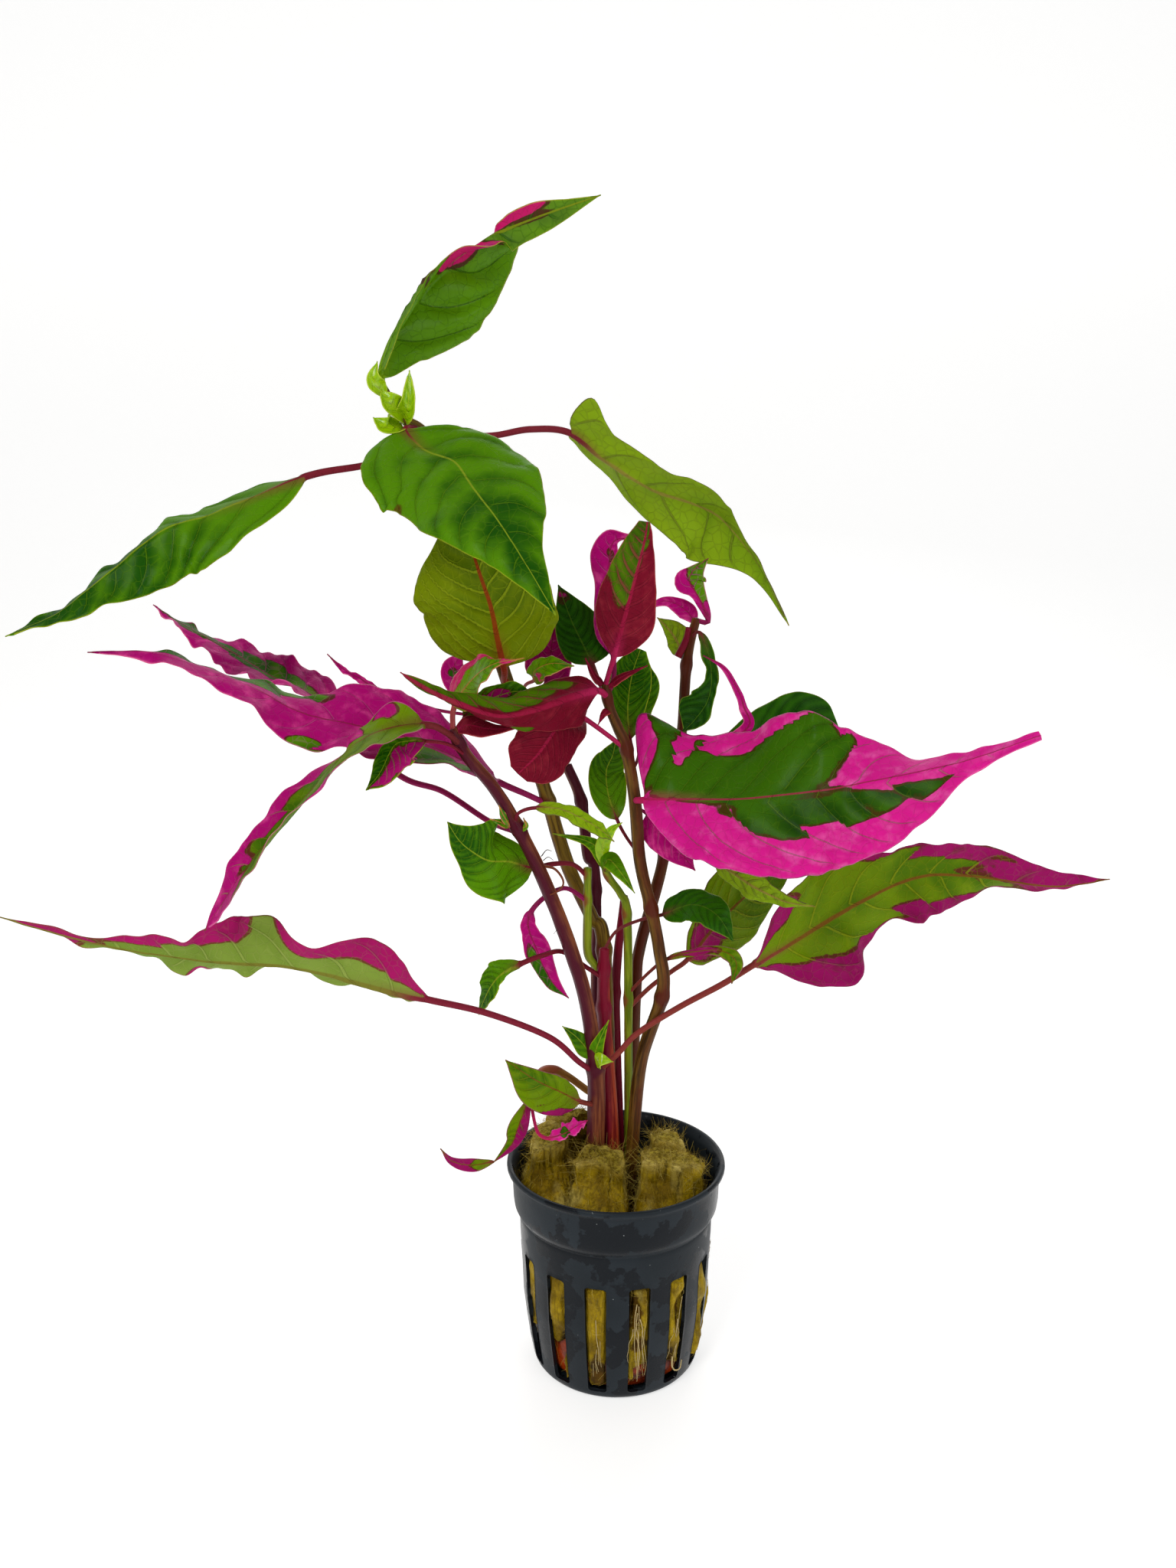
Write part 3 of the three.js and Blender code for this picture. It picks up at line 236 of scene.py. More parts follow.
def make_pot():
    """A turned profile whose columns follow the slots' edges. Cells in a slot are left out, and
    quads through the wall join the outer edge of each slot to its inner edge."""
    # Rows of the profile, closer together at the corners of the slots and at the step
    corner = SLOT_CORNER * (1 - np.cos(np.linspace(0, np.pi / 2, 5)))
    heights = np.concatenate([
        [1.7], SLOT_LOW + corner, np.linspace(4.5, 28.5, 17), SLOT_HIGH - SLOT_CORNER + corner,
        np.linspace(32, 37.5, 4), [38.4, 38.7, 38.9, 39.15, 39.4, 39.8, 40.3, 40.8, 41.3, 42, 43],
        np.linspace(44, 49.4, 5),
    ])
    side = np.stack([side_radius(heights), heights], 1)
    floor = [[radius, POT_FLOOR] for radius in (19.4, 12, 5)]
    profile = np.concatenate([POT_FOOT, side, POT_RIM, side[::-1] - [POT_WALL, 0], floor])
    radius, z = profile[:, :1], profile[:, 1:]

    # Columns round the pot, each period one slot and the bar beside it
    half = slot_half(np.clip(z, SLOT_LOW, SLOT_HIGH)) / np.maximum(radius, POT_FOOT_RADIUS)
    period = np.concatenate([half * SLOT_COLUMNS, half + (SLOT_PITCH - 2 * half) * BAR_COLUMNS], 1)
    angles = np.concatenate([period + slot_angle(number) for number in range(POT_SLOTS)], 1)
    starts = np.arange(POT_SLOTS) * period.shape[1]
    in_slot = np.arange(angles.shape[1]) % period.shape[1] < len(SLOT_COLUMNS) - 1
    in_rows = (z > SLOT_LOW - ROW_SLACK) & (z < SLOT_HIGH + ROW_SLACK)
    keep = ~(in_rows[:-1] & in_rows[1:] & in_slot)
    points, faces = skin(turned(radius, angles, z), [0, 0, 0.1], [0, 0, POT_FLOOR], keep)

    # The cut faces of the slots: their two sides, then their lower and upper ends
    place = np.arange(angles.size).reshape(angles.shape)
    outer = place[len(POT_FOOT):][:len(heights)]
    inner = place[len(POT_FOOT) + len(heights) + len(POT_RIM):][:len(heights)][::-1]
    rows = np.flatnonzero(in_rows[len(POT_FOOT):][:len(heights), 0])
    for column, turn in ((starts, 1), (starts + len(SLOT_COLUMNS) - 1, -1)):
        near, far = outer[rows][:, column], inner[rows][:, column]
        cells = np.stack([near[:-1], near[1:], far[1:], far[:-1]][::turn], -1)
        faces = faces + cells.reshape(-1, 4).tolist()
    across = (starts[:, None] + np.arange(len(SLOT_COLUMNS) - 1)).ravel()
    for row, turn in ((rows[0], -1), (rows[-1], 1)):
        near, far = outer[row], inner[row]
        cells = np.stack([near[across], near[across + 1], far[across + 1], far[across]][::turn], -1)
        faces = faces + cells.tolist()
    piece = make_piece("pot_shell", points, faces, pot_plastic(), ["pot"])
    edges = piece.modifiers.new("edges", "BEVEL")
    edges.width = POT_EDGE_ROUND * MM
    edges.segments = 2
    edges.limit_method = "ANGLE"
    edges.angle_limit = np.radians(55)


make_pot()


# Clay weight. A smooth fired pebble that lies on the pot floor, thicker to the left, with the wool
# packed on top of it. It shows wet and red-brown behind the foot of the slots.
CLAY_GAP, CLAY_LOW = 0.4, 1.5
CLAY_TOP, CLAY_FALL = 11.4, 0.3
CLAY_REACH = 19
LATTICE = 32


def lumps(points, cell, seed):
    """Smooth noise from -1 to 1: random numbers on a cubic lattice of that cell size in
    millimetres, blended between the eight nearest lattice points by an S-curve."""
    lattice = np.random.default_rng(seed).uniform(-1, 1, (LATTICE, LATTICE, LATTICE))
    place = np.asarray(points) / cell
    base = np.floor(place).astype(int)
    part = place - base
    part = part * part * (3 - 2 * part)
    total = 0
    for corner in np.ndindex(2, 2, 2):
        weight = np.prod(np.where(corner, part, 1 - part), axis=-1)
        spot = (base + corner) % LATTICE
        total = total + weight * lattice[spot[..., 0], spot[..., 1], spot[..., 2]]
    return total


def clay_finish():
    """Fired clay, orange to dark red-brown in clouds, wet and glossy."""
    material, tree, shader = new_material("wet_clay")
    base = mix(ramp(noise(tree, 240, 4), 0.35, 0.68), (72, 18, 2), (150, 52, 8))
    rough = noise(tree, 600, 2) * 0.2 + 0.16
    finish_material(shader, base, rough, noise(tree, 900, 3) * 0.12, {"Specular IOR Level": 0.2})
    return material


def make_clay():
    """A wedge of a round: it fills the pot's foot but for a gap, its top falls to the right, and
    its edges are rounded by a superellipse."""
    lift = np.linspace(-1, 1, 49)[1:-1, None] * np.pi / 2
    turn = np.linspace(0, 2 * np.pi, 96, endpoint=False)
    out = np.abs(np.cos(lift)) ** 0.08
    level = 0.5 + 0.5 * np.sign(lift) * np.abs(np.sin(lift)) ** 0.8
    z = CLAY_LOW + level * (CLAY_TOP - CLAY_LOW - CLAY_FALL * CLAY_REACH * out * np.cos(turn))
    rings = turned(out * (side_radius(z) - POT_WALL - CLAY_GAP), turn, z)
    rings = rings * (1 + 0.012 * lumps(rings, 5, 3) - 0.012)[..., None]
    points, faces = skin(rings, [0, 0, CLAY_LOW], [0, 0, CLAY_TOP])
    make_piece("clay_pebble", points, faces, clay_finish(), ["clay_weight"])


make_clay()


# Rock wool. Torn blocks of wet mineral wool, mustard to olive, packed round the stems. Each block
# is one lumpy body, and loose fibres stand out of its faces and push a little through the slots.
WOOL_GAP = 0.25
WOOL_ROUND = 150
WOOL_UNDER, WOOL_RISE, WOOL_OVER = 9, 60, 26
WOOL_ON_CLAY = 0.4
WOOL_TORN_TOP = 0.5
SLOT_WINDOW = 2.3
FIBRE_RADIUS = 0.035
FIBRE_TAPER = np.array([0.8, 1, 1, 0.8, 0.4])
WOOL_BLOCKS = {
    "wool_left": dict(
        foot=[[-23, -11], [-13.5, -19], [-10, -13], [-8.6, -3], [-9, 4], [-14, 6.5], [-23, 7.5], [-25, -2]],
        top=[[-20.5, -5.5], [-15.5, -7], [-12.6, -5], [-11.8, -1], [-11.2, 3], [-13, 5.5], [-19, 6.5],
             [-21.8, 1]],
        tops=[56, 57, 57.5, 58, 58.5, 58.5, 58, 56.5], tatter=13),
    "wool_front": dict(
        foot=[[-12.8, -20], [-4, -24], [3.4, -24], [3.2, -13], [2.8, -6.2], [-2.6, -7.2], [-8.9, -7.2],
              [-9.2, -13]],
        top=[[-10.8, -11.8], [-5, -13.2], [0.8, -14], [2.6, -11], [2, -7], [-2.6, -6.4], [-7.4, -6],
             [-10, -8.5]],
        tops=[56.5, 57.5, 55.5, 55.5, 57.5, 58.8, 58.8, 57.8], tatter=4.5),
    "wool_right_front": dict(
        foot=[[4.2, -24], [13, -21], [21, -14], [24.5, -5], [23, -0.8], [14, -1.2], [7, -2.2], [3.9, -9]],
        top=[[5.9, -12.8], [12, -13], [18, -12], [21.8, -8.5], [20.5, -3.8], [14, -2.8], [8, -3.4],
             [5.3, -7]],
        tops=[56.5, 56, 55.3, 54.2, 54.5, 55.5, 56.5, 57.2], tatter=9),
    "wool_right_back": dict(
        foot=[[7.2, -0.9], [14, 0.2], [20.5, 0.6], [20, 8], [14, 13], [9, 13], [8.3, 10.4], [7.6, 5]],
        top=[[8.8, -1.2], [13, -0.8], [17.2, -0.4], [17.2, 4], [15, 9], [9.5, 8.6], [8.2, 6], [8, 2.5]],
        tops=[56.2, 55.6, 55, 54.7, 55, 55.6, 56, 56], tatter=20),
    "wool_back": dict(
        foot=[[-19.5, 8.8], [-10.5, 7.6], [-7.6, 12.4], [-2, 13], [4, 12.8], [3, 20], [-6, 21.5],
              [-14.5, 17]],
        top=[[-18.5, 8.4], [-12, 7.8], [-8, 12.6], [-2, 13.2], [2.4, 13.2], [1, 15.5], [-6, 16.5],
             [-13.5, 13.8]],
        tops=[58.5, 59, 59, 58, 56.5, 55.5, 57, 58.5], tatter=20),
}
WOOL_FIBRES = dict(wool_left=2600, wool_front=2800, wool_right_front=3100, wool_right_back=1800,
                   wool_back=1800)
# Hollows dented into the wool near the slots, which the finish paints dark as painted shade: slot number, way
# across the slot, height, half width, half height, depth.
WOOL_HOLLOWS = [
    (0, -1.1, 24.0, 2.0, 6.5, 2.6), (0, 0.4, 14.6, 2.2, 2.2, 1.0), (13, 0.3, 7.6, 2.3, 5.6, 1.8),
    (1, 1.4, 20.5, 1.5, 5.0, 2.6), (1, -0.6, 9.0, 1.8, 3.0, 1.4), (12, 0.9, 13.5, 1.5, 2.6, 1.2),
    (2, -1.0, 16.0, 1.2, 3.6, 1.2), (5, 0.6, 12.0, 1.6, 4.0, 1.2), (8, -0.8, 21.0, 1.4, 5.0, 1.4),
]


def climb(low, high, value):
    """A straight climb from 0 at low to 1 at high."""
    return np.clip((value - low) / (high - low), 0, 1)


def spline(points, t, closed=False):
    """A uniform Catmull-Rom curve through the points. t runs from 0 to 1, each span takes the
    same share of it, and an open curve runs straight on at its ends."""
    points = np.asarray(points, float)
    if points.ndim == 1:
        points = points[:, None]
    if len(points) == 1:
        return np.repeat(points, len(t), 0)
    if closed:
        line = np.concatenate([points[-1:], points, points[:2]])
    else:
        line = np.concatenate([[2 * points[0] - points[1]], points, [2 * points[-1] - points[-2]]])
    spans = len(line) - 3
    place = np.clip(t, 0, 1) * spans
    span = np.minimum(place.astype(int), spans - 1)
    f = (place - span)[:, None]
    a, b, c, d = line[span], line[span + 1], line[span + 2], line[span + 3]
    bend, twist = 2 * a - 5 * b + 4 * c - d, 3 * b - a - 3 * c + d
    return 0.5 * (2 * b + (c - a) * f + bend * f ** 2 + twist * f ** 3)


def unit(vectors):
    """The vectors at length one."""
    return vectors / np.maximum(np.linalg.norm(vectors, axis=-1, keepdims=True), 1e-9)


def ring_round(ahead, aside, turn):
    """Unit vectors square to a path at each angle of turn. Aside is any way across the path."""
    across = unit(np.cross(ahead, aside))
    deep = np.cross(ahead, across)
    return across[..., None, :] * np.cos(turn)[:, None] + deep[..., None, :] * np.sin(turn)[:, None]


def strands(paths, radius, sides=3):
    """A thin prism along each path, paths counted along the first axis: rings of a few points
    square to the path, quads between them and one face over each end."""
    count, steps = paths.shape[:2]
    turn = 2 * np.pi * np.arange(sides) / sides
    circle = ring_round(unit(np.gradient(paths, axis=1)), [0.31, 0.52, 0.79], turn)
    points = paths[:, :, None] + circle * radius[..., None, None]
    place = np.arange(count * steps * sides).reshape(count, steps, sides)
    beside = np.roll(place, -1, 2)
    quads = np.stack([place[:, :-1], beside[:, :-1], beside[:, 1:], place[:, 1:]], -1)
    caps = place[:, 0, ::-1].tolist() + place[:, -1].tolist()
    return points.reshape(-1, 3), quads.reshape(-1, 4).tolist() + caps


def store(piece, key, values):
    """Keeps numbers for the materials to read: one for each point, or three for a place."""
    kind = "FLOAT" if values.ndim == 1 else "FLOAT_VECTOR"
    attribute = piece.data.attributes.new(key, kind, "POINT")
    attribute.data.foreach_set("value" if values.ndim == 1 else "vector", values.ravel())


def narrowed(points, share):
    """Points drawn in towards the upright axis by a share of their distance from it."""
    return points * np.stack([share, share, np.ones_like(share)], -1)


def in_pot(points):
    """Draws points in to the pot's inner face. At each slot the wool may bulge out, by an amount
    that changes from slot to slot and with height."""
    z = points[..., 2]
    angle = np.arctan2(points[..., 1], points[..., 0]) + np.pi / 2
    off_centre = (angle / SLOT_PITCH) % 1 - 0.5
    size = np.linalg.norm(points[..., :2], axis=-1)
    open_slot = (z > SLOT_LOW + 1) & (z < SLOT_HIGH - 0.6)
    window = np.clip(1 - (np.abs(off_centre) * SLOT_PITCH * size / SLOT_WINDOW) ** 8, 0, 1) * open_slot
    bulge = np.clip(1.1 + 1.5 * lumps(points, 7.5, 21) + 0.5 * lumps(points, 2.3, 22), 0.1, 2.4)
    reach = side_radius(z) - POT_WALL - WOOL_GAP + window * bulge
    return narrowed(points, np.minimum(1, reach / np.maximum(size, 1e-6)))


def hollow_out(rings):
    """Draws the rings in by the bell of each hollow, and gives how deep each point is. The wool finish paints
    the hollows dark, partly as brown wool and partly as painted shade.
    """
    angle = np.arctan2(rings[..., 1], rings[..., 0])
    size = np.linalg.norm(rings[..., :2], axis=-1)
    near_wall = climb(14, 17, size)
    share, depth = np.zeros(size.shape), np.zeros(size.shape)
    for slot_number, across, height, wide, high, deep in WOOL_HOLLOWS:
        away = size * np.angle(np.exp(1j * (angle - slot_angle(slot_number)))) - across
        bell = near_wall * np.exp(-(away / wide) ** 2 - ((rings[..., 2] - height) / high) ** 2)
        share, depth = np.maximum(share, bell), np.maximum(depth, deep * bell)
    return narrowed(rings, 1 - depth / np.maximum(size, 1)), share


def stretched(tree, scale, vector=None):
    """A place drawn out along some axes, for noise that runs in streaks."""
    inputs = {"Vector": vector or object_place(tree), "Scale": scale}
    return add_node(tree, "ShaderNodeMapping", 0, inputs)


def read(tree, key, output="Fac"):
    """What a piece stores for each of its points."""
    return add_node(tree, "ShaderNodeAttribute", output, {}, attribute_name=key)


def wool_finish():
    """Wet mineral wool. The faces are smooth mustard with long streaks of fibre: pale streaks of painted
    highlight, and darker streaks in the grooves of the bump, partly dark fibre and partly painted shade. The
    hollows are dark brown, partly brown wool and partly painted shade, the torn tops are olive, the frayed
    edges are straw coloured, partly frayed fibre and partly painted highlight, and loose fibres are straw
    coloured."""
    material, tree, shader = new_material("wet_wool")
    upright, flat = stretched(tree, (1, 1, 0.16)), stretched(tree, (0.35, 0.35, 1))
    streak, cross = noise(tree, 1500, 3, upright), noise(tree, 2300, 3, flat)
    patch, torn = ramp(noise(tree, 150, 4), 0.36, 0.64), read(tree, "torn")
    face = mix(patch, (112, 88, 4), (168, 140, 16))
    # Pale streaks up the faces, a painted highlight.
    face = mix(ramp(noise(tree, 110, 3, upright), 0.56, 0.68) * 0.5, face, (176, 164, 96))
    # Darker streaks where the streak noise, and so the bump, is low: partly dark fibre, partly painted shade
    # in the grooves.
    face = mix(ramp(streak, 0.56, 0.40) * 0.45, face, (84, 66, 2))
    tuft = mix(ramp(cross, 0.38, 0.62), (96, 82, 10), (166, 148, 52))
    base = mix(ramp(noise(tree, 330, 3), 0.6, 0.74) * 0.5, mix(torn, face, tuft), (60, 46, 2))
    # The straw colour along each block's top edge is partly frayed fibre and partly a painted highlight.
    base = mix(read(tree, "frayed"), base, mix(patch, (170, 146, 50), (214, 194, 110)))
    # The hollows are painted dark brown to near black: partly brown wool, partly painted shade in the dents.
    hollow_shade = ramp(read(tree, "hollow") + (noise(tree, 420, 4) - 0.5) * 1.1, 0.34, 0.62)
    base = mix(hollow_shade * 0.88, base, mix(patch, (26, 14, 2), (84, 50, 10)))
    height = streak * 0.22 + cross * 0.22
    finish_material(shader, base, torn * 0.35 + 0.5, height, {"Specular IOR Level": 0.08})
    return material


WOOL = wool_finish()


def make_block(name, foot, top, tops, tatter, seed):
    """A block whose outline changes from foot to top: rings up the side, then rings that close over
    the torn top. Noise at several scales pits the faces, and creases run up them. Tatters hang
    down to their own height next to the slots. Gives the rings and how densely fibres stand."""
    turn = np.linspace(0, 1, WOOL_ROUND, endpoint=False)
    foot, top = spline(foot, turn, closed=True), spline(top, turn, closed=True)
    tops = spline(tops, turn, closed=True)[:, 0]
    keep = np.concatenate([np.linspace(0.02, 0.94, WOOL_UNDER), np.ones(WOOL_RISE),
                           np.linspace(0.97, 0.03, WOOL_OVER)])[:, None]
    level = np.concatenate([np.zeros(WOOL_UNDER), np.linspace(0, 1, WOOL_RISE),
                            np.ones(WOOL_OVER)])[:, None]
    raised = climb(0.66, 0.92, level)[..., None]
    outline = foot + (top - foot) * raised * raised * (3 - 2 * raised)
    middle = outline.mean(1, keepdims=True)
    flat = middle + (outline - middle) * keep[..., None]
    on_floor = np.zeros_like(flat[..., :1])
    low = CLAY_TOP + WOOL_ON_CLAY - CLAY_FALL * flat[..., 0]
    ragged = tatter + 1.6 * lumps(np.concatenate([flat, on_floor], -1), 2.6, seed + 6)
    near_wall = climb(17, 20, np.linalg.norm(flat, axis=-1))
    low = np.minimum(low, low + (np.maximum(ragged, 3) - low) * near_wall)
    over = np.repeat(np.clip((1 - keep) * (level > 0.99), 0, 1), WOOL_ROUND, 1)
    high = tops + (tops.mean() + WOOL_TORN_TOP - tops) * over
    rings = np.concatenate([flat, (low + (high - low) * level)[..., None]], -1)

    inward = unit(np.concatenate([middle - flat, on_floor], -1))
    rough = 0.55 * lumps(rings, 6, seed) + 0.35 * lumps(rings, 2.2, seed + 1)
    rough = rough + 0.22 * lumps(rings, 0.9, seed + 2)
    crease = np.abs(lumps(rings * [1, 1, 0.3], 3.4, seed + 4))
    inset = 0.25 + 0.9 * rough + 1.1 * np.exp(-(crease / 0.09) ** 2) * (0.3 + raised[..., 0])
    inset = (inset + 0.5 * raised[..., 0]) * np.clip(1.02 - over / 0.35, 0, 1)
    rings = rings + inward * inset[..., None]
    rings[..., 2] += (1.2 * rough + 0.6 * lumps(rings, 1.4, seed + 5) - 0.2) * (level > 0.9)
    rings, pitted = hollow_out(in_pot(rings))

    first = np.append(middle[0, 0], CLAY_TOP + WOOL_ON_CLAY - CLAY_FALL * middle[0, 0, 0])
    last = np.append(middle[-1, 0], tops.mean() + WOOL_TORN_TOP)
    points, faces = skin(rings, first, last)
    block = make_piece(name + "_block", points, faces, WOOL, [name])
    # The top edge of each side: frayed fibre, also painted pale as a highlight.
    edge = np.exp(-((rings[..., 2] - high) / 1.2) ** 2 - (over / 0.4) ** 2)
    edge = edge * np.clip(0.8 + lumps(rings, 3, seed + 3), 0, 1)
    store(block, "frayed", np.append(edge.ravel() * 0.8, [0, 0]))
    # How far each point lies in a hollow, which the finish paints dark as painted shade.
    store(block, "hollow", np.append(pitted.ravel(), [0, 0]))
    store(block, "torn", np.append(np.clip(over / 0.12, 0, 1).ravel(), [0, 1]))
    shown = (rings[..., 2] > 2.5) & (keep > 0.02)
    return rings, (1 + 2 * (rings[..., 2] > 44) + 6 * edge) * shown * (1 - 0.9 * pitted)


def make_fibres(name, rings, density, fibres, seed):
    """Loose fibres: short curves that start on the rings, run along the face and bend off it.
    They are drawn by chance, by the area round each point times how densely they stand there."""
    rng = np.random.default_rng(seed)
    across = np.cross(np.roll(rings, -1, 1) - rings, np.gradient(rings, axis=0))
    weight = (np.linalg.norm(across, axis=-1) * density).ravel()
    pick = rng.choice(weight.size, fibres, p=weight / weight.sum())
    start = rings.reshape(-1, 3)[pick] + rng.normal(0, 0.25, (fibres, 3))
    normal = unit(across).reshape(-1, 3)[pick]
    along = rng.normal(0, 1, (fibres, 3)) + [0, 0, 0.25]
    along = unit(along - normal * (along * normal).sum(-1, keepdims=True))
    length = rng.uniform(1.2, 4.2, (fibres, 1, 1))
    step = np.linspace(0, 1, len(FIBRE_TAPER))[None, :, None]
    bend = rng.normal(0, 0.35, (fibres, 1, 3))
    lift = rng.uniform(-0.2, 0.22, (fibres, 1, 1))
    curve = along[:, None] * step + normal[:, None] * lift * step + bend * step ** 2
    radius = FIBRE_RADIUS * rng.uniform(0.5, 1.3, (fibres, 1)) * FIBRE_TAPER
    points, faces = strands(in_pot(start[:, None] + length * curve), radius)
    hair = make_piece(name + "_fibres", points, faces, WOOL)
    store(hair, "frayed", np.repeat(rng.uniform(0, 1, fibres) ** 1.6, len(points) // fibres))


for seed, (name, sizes) in zip(range(40, 90, 10), WOOL_BLOCKS.items()):
    rings, density = make_block(name, seed=seed, **sizes)
    make_fibres(name, rings, density, WOOL_FIBRES[name], seed)


# Stems. Ten soft round stems, cut and pushed into the wool as a bunch. Each is faintly ridged and
# swollen at its nodes, crimson or purple on one side and tan, olive or green on the other.
STEM_STEP = 0.7
STEM_SIDES = 26
STEM_TURN = 2 * np.pi * np.arange(STEM_SIDES) / STEM_SIDES
SOFT_SKIN = {"Subsurface Weight": 0.08, "Subsurface Scale": 1.0}
STEMS = {}


def stem_finish(name, pale, shade, flush, rough=0.28):
    """Stem skin: a pale ground with long streaks, flushed with colour on one side and at the nodes,
    with small dark pits."""
    material, tree, shader = new_material(name)
    streak = noise(tree, 1500, 3, stretched(tree, (1, 1, 0.06), read(tree, "along", "Vector")))
    cloud = noise(tree, 130, 3)
    side = read(tree, "flush") + (cloud - 0.5) * 0.7 + (streak - 0.5) * 0.5
    base = mix(ramp(streak, 0.36, 0.62), shade, pale)
    base = mix(ramp(side, 0.3, 0.75), base, flush)
    pits = ramp(noise(tree, 1300, 2), 0.70, 0.76)
    base = mix(pits * 0.6, base, (66, 36, 22))
    finish_material(shader, base, cloud * 0.2 + rough, streak * 0.22 - pits * 0.12, {
        **SOFT_SKIN, "Specular IOR Level": 0.12, "Subsurface Radius": (0.001, 0.0005, 0.0003)})
    return material


STEM_FINISHES = {
    "olive": stem_finish("stem_olive", (122, 96, 26), (76, 54, 8), (88, 38, 18)),
    "brown": stem_finish("stem_brown", (116, 82, 28), (62, 38, 8), (84, 32, 14)),
    "purple": stem_finish("stem_purple_skin", (128, 70, 40), (84, 32, 24), (74, 10, 30)),
    "crimson": stem_finish("stem_crimson", (160, 62, 34), (108, 20, 18), (118, 8, 38)),
    "green": stem_finish("stem_green", (136, 150, 30), (92, 112, 10), (128, 76, 34)),
    "tan": stem_finish("stem_tan", (160, 118, 60), (126, 84, 36), (140, 70, 44)),
}


def lay_skin(piece, radius, length):
    """Stores where each point of a rod lies on its unrolled skin, in metres, for the long streaks.
    The two poles come last."""
    place = turned(radius, STEM_TURN, length).reshape(-1, 3)
    store(piece, "along", np.concatenate([place, [[0, 0, 0], [0, 0, length.max()]]]) * MM)


def stem(name, finish, slot, points, radii, nodes, flush_side, flush, foot=None):
    """A round rod carried along a smooth path. Its radius follows the list, with four faint ridges,
    and swells by a bell curve at each node. The path is kept for what grows on it, and the slot beside it."""
    points = np.array(points, float)
    length = np.linalg.norm(np.diff(points, axis=0), axis=1).sum()
    t = np.linspace(0, 1, int(length / STEM_STEP) + 8)
    path = spline(points, t)
    radius = spline(radii, t)
    STEMS[name] = (path, slot)
    ahead = unit(np.gradient(path, axis=0))
    aside = [-0.15, 0.2, -1.0] if abs(ahead[:, 2]).min() < 0.3 else [0, 1, 0.05]
    circle = ring_round(ahead, aside, STEM_TURN)
    swell = np.exp(-((path[:, 2:] - nodes) / 1.5) ** 2).max(1, keepdims=True)
    ridges = 1 + 0.045 * np.cos(4 * STEM_TURN + 0.6) + 0.02 * np.cos(9 * STEM_TURN)
    size = radius * ridges * (1 + 0.24 * swell)
    size = size * (1 + 0.03 * lumps(path[:, None] + 3 * circle, 4, 5))
    rings = path[:, None] + circle * size[..., None]
    begin, end = path[0] - ahead[0] * radius[0] * 0.2, path[-1] + ahead[-1] * radius[-1] * 0.4
    points, faces = skin(rings, begin, end)
    piece = make_piece(name + "_rod", points, faces, STEM_FINISHES[finish], [name])
    travel = np.append(0, np.cumsum(np.linalg.norm(np.diff(path, axis=0), axis=1)))
    lay_skin(piece, radius, travel[:, None])
    facing = circle @ np.array([np.cos(np.radians(flush_side)), np.sin(np.radians(flush_side)), 0])
    foot = flush if foot is None else foot
    side = foot + (flush - foot) * climb(56, 96, path[:, 2:]) + 0.42 * facing + 0.5 * swell
    store(piece, "flush", np.append(side.ravel(), [flush, flush]))


stem("stem_tall", "olive", "olive_stem",
     [[-1.5, 3.5, 24], [-1.5, 3.5, 53], [-3, 5, 104], [-6, 6, 112], [-11, 6, 123], [-14, 6, 132],
      [-18, 6, 146], [-27, 6, 173], [-36, 5, 203], [-43, 3, 224], [-48, 1, 229], [-52, 2, 235]],
     [1.8, 1.8, 1.8, 1.8, 1.8, 1.8, 1.7, 1.6, 1.5, 1.3, 1.1, 0.8],
     nodes=[104, 141, 162, 225.5], flush_side=180, flush=0.2)
stem("stem_front", "purple", "purple_stem",
     [[-5, -4, 24], [-5, -4, 57], [-5, -5, 76], [-7, -5, 93], [-11, -6, 108], [-17, -8, 125],
      [-23, -9, 138], [-28, -10, 147], [-34, -12, 155], [-37, -13, 161]],
     [2.1, 2.1, 2, 1.7, 1.7, 1.6, 1.5, 1.4, 1.3, 1.1],
     nodes=[78, 137.5, 158], flush_side=-160, flush=0.6, foot=0.1)
stem("stem_right", "brown", "olive_stem",
     [[3, -2, 24], [4, -2, 54], [6, -2, 78], [11, -3, 96], [10, -3, 107], [8, -3, 117], [6, -3, 125],
      [5, -3, 131], [4, -3, 143], [2, -3, 155], [0, -3, 160], [-2, -3, 165], [-3, -3, 170]],
     [1.5, 1.5, 1.5, 1.5, 1.4, 1.4, 1.4, 1.4, 1.4, 1.3, 1.2, 1.1, 1],
     nodes=[95, 117, 155, 167], flush_side=-60, flush=0.15)
stem("stem_back", "brown", "olive_stem",
     [[4.5, 6.5, 24], [4, 6.5, 55], [5, 9, 92], [6, 10, 103], [10, 11, 118], [12, 12, 127],
      [15, 13, 148], [16, 13, 158], [17, 13, 175], [19, 13, 184]],
     [1.5, 1.5, 1.4, 1.4, 1.4, 1.3, 1.3, 1.2, 1.2, 1],
     nodes=[127, 148, 173], flush_side=-90, flush=0.3)
stem("stem_red", "crimson", "purple_stem",
     [[-1, -1, 24], [-1, -1, 55], [-3, 0, 91], [-3, 0, 106]],
     [1.9, 1.9, 1.6, 1.2], nodes=[91, 101], flush_side=-150, flush=0.75, foot=0.2)
stem("stem_purple", "crimson", "purple_stem",
     [[1, 6.5, 24], [1, 6.5, 52], [0, 8, 92], [2, 8, 117]],
     [1.2, 1.2, 1.1, 0.9], nodes=[92], flush_side=-90, flush=0.7)
stem("stem_cut", "purple", "purple_stem",
     [[-5, 10, 24], [-5, 10, 60], [-5, 9.5, 118], [-7, 9.5, 127], [-8.5, 10, 140], [-12, 10, 149]],
     [1.3, 1.3, 1.3, 1.3, 1.3, 1.2], nodes=[118, 140], flush_side=-40, flush=0.6)
stem("stem_green_left", "green", "green_stem",
     [[-3, 0, 99], [-5.5, 1, 101.8], [-7, 1, 105], [-7, 1, 114], [-7, 0, 126]],
     [0.9, 0.9, 1, 1, 0.8], nodes=[118, 125], flush_side=180, flush=0.1)
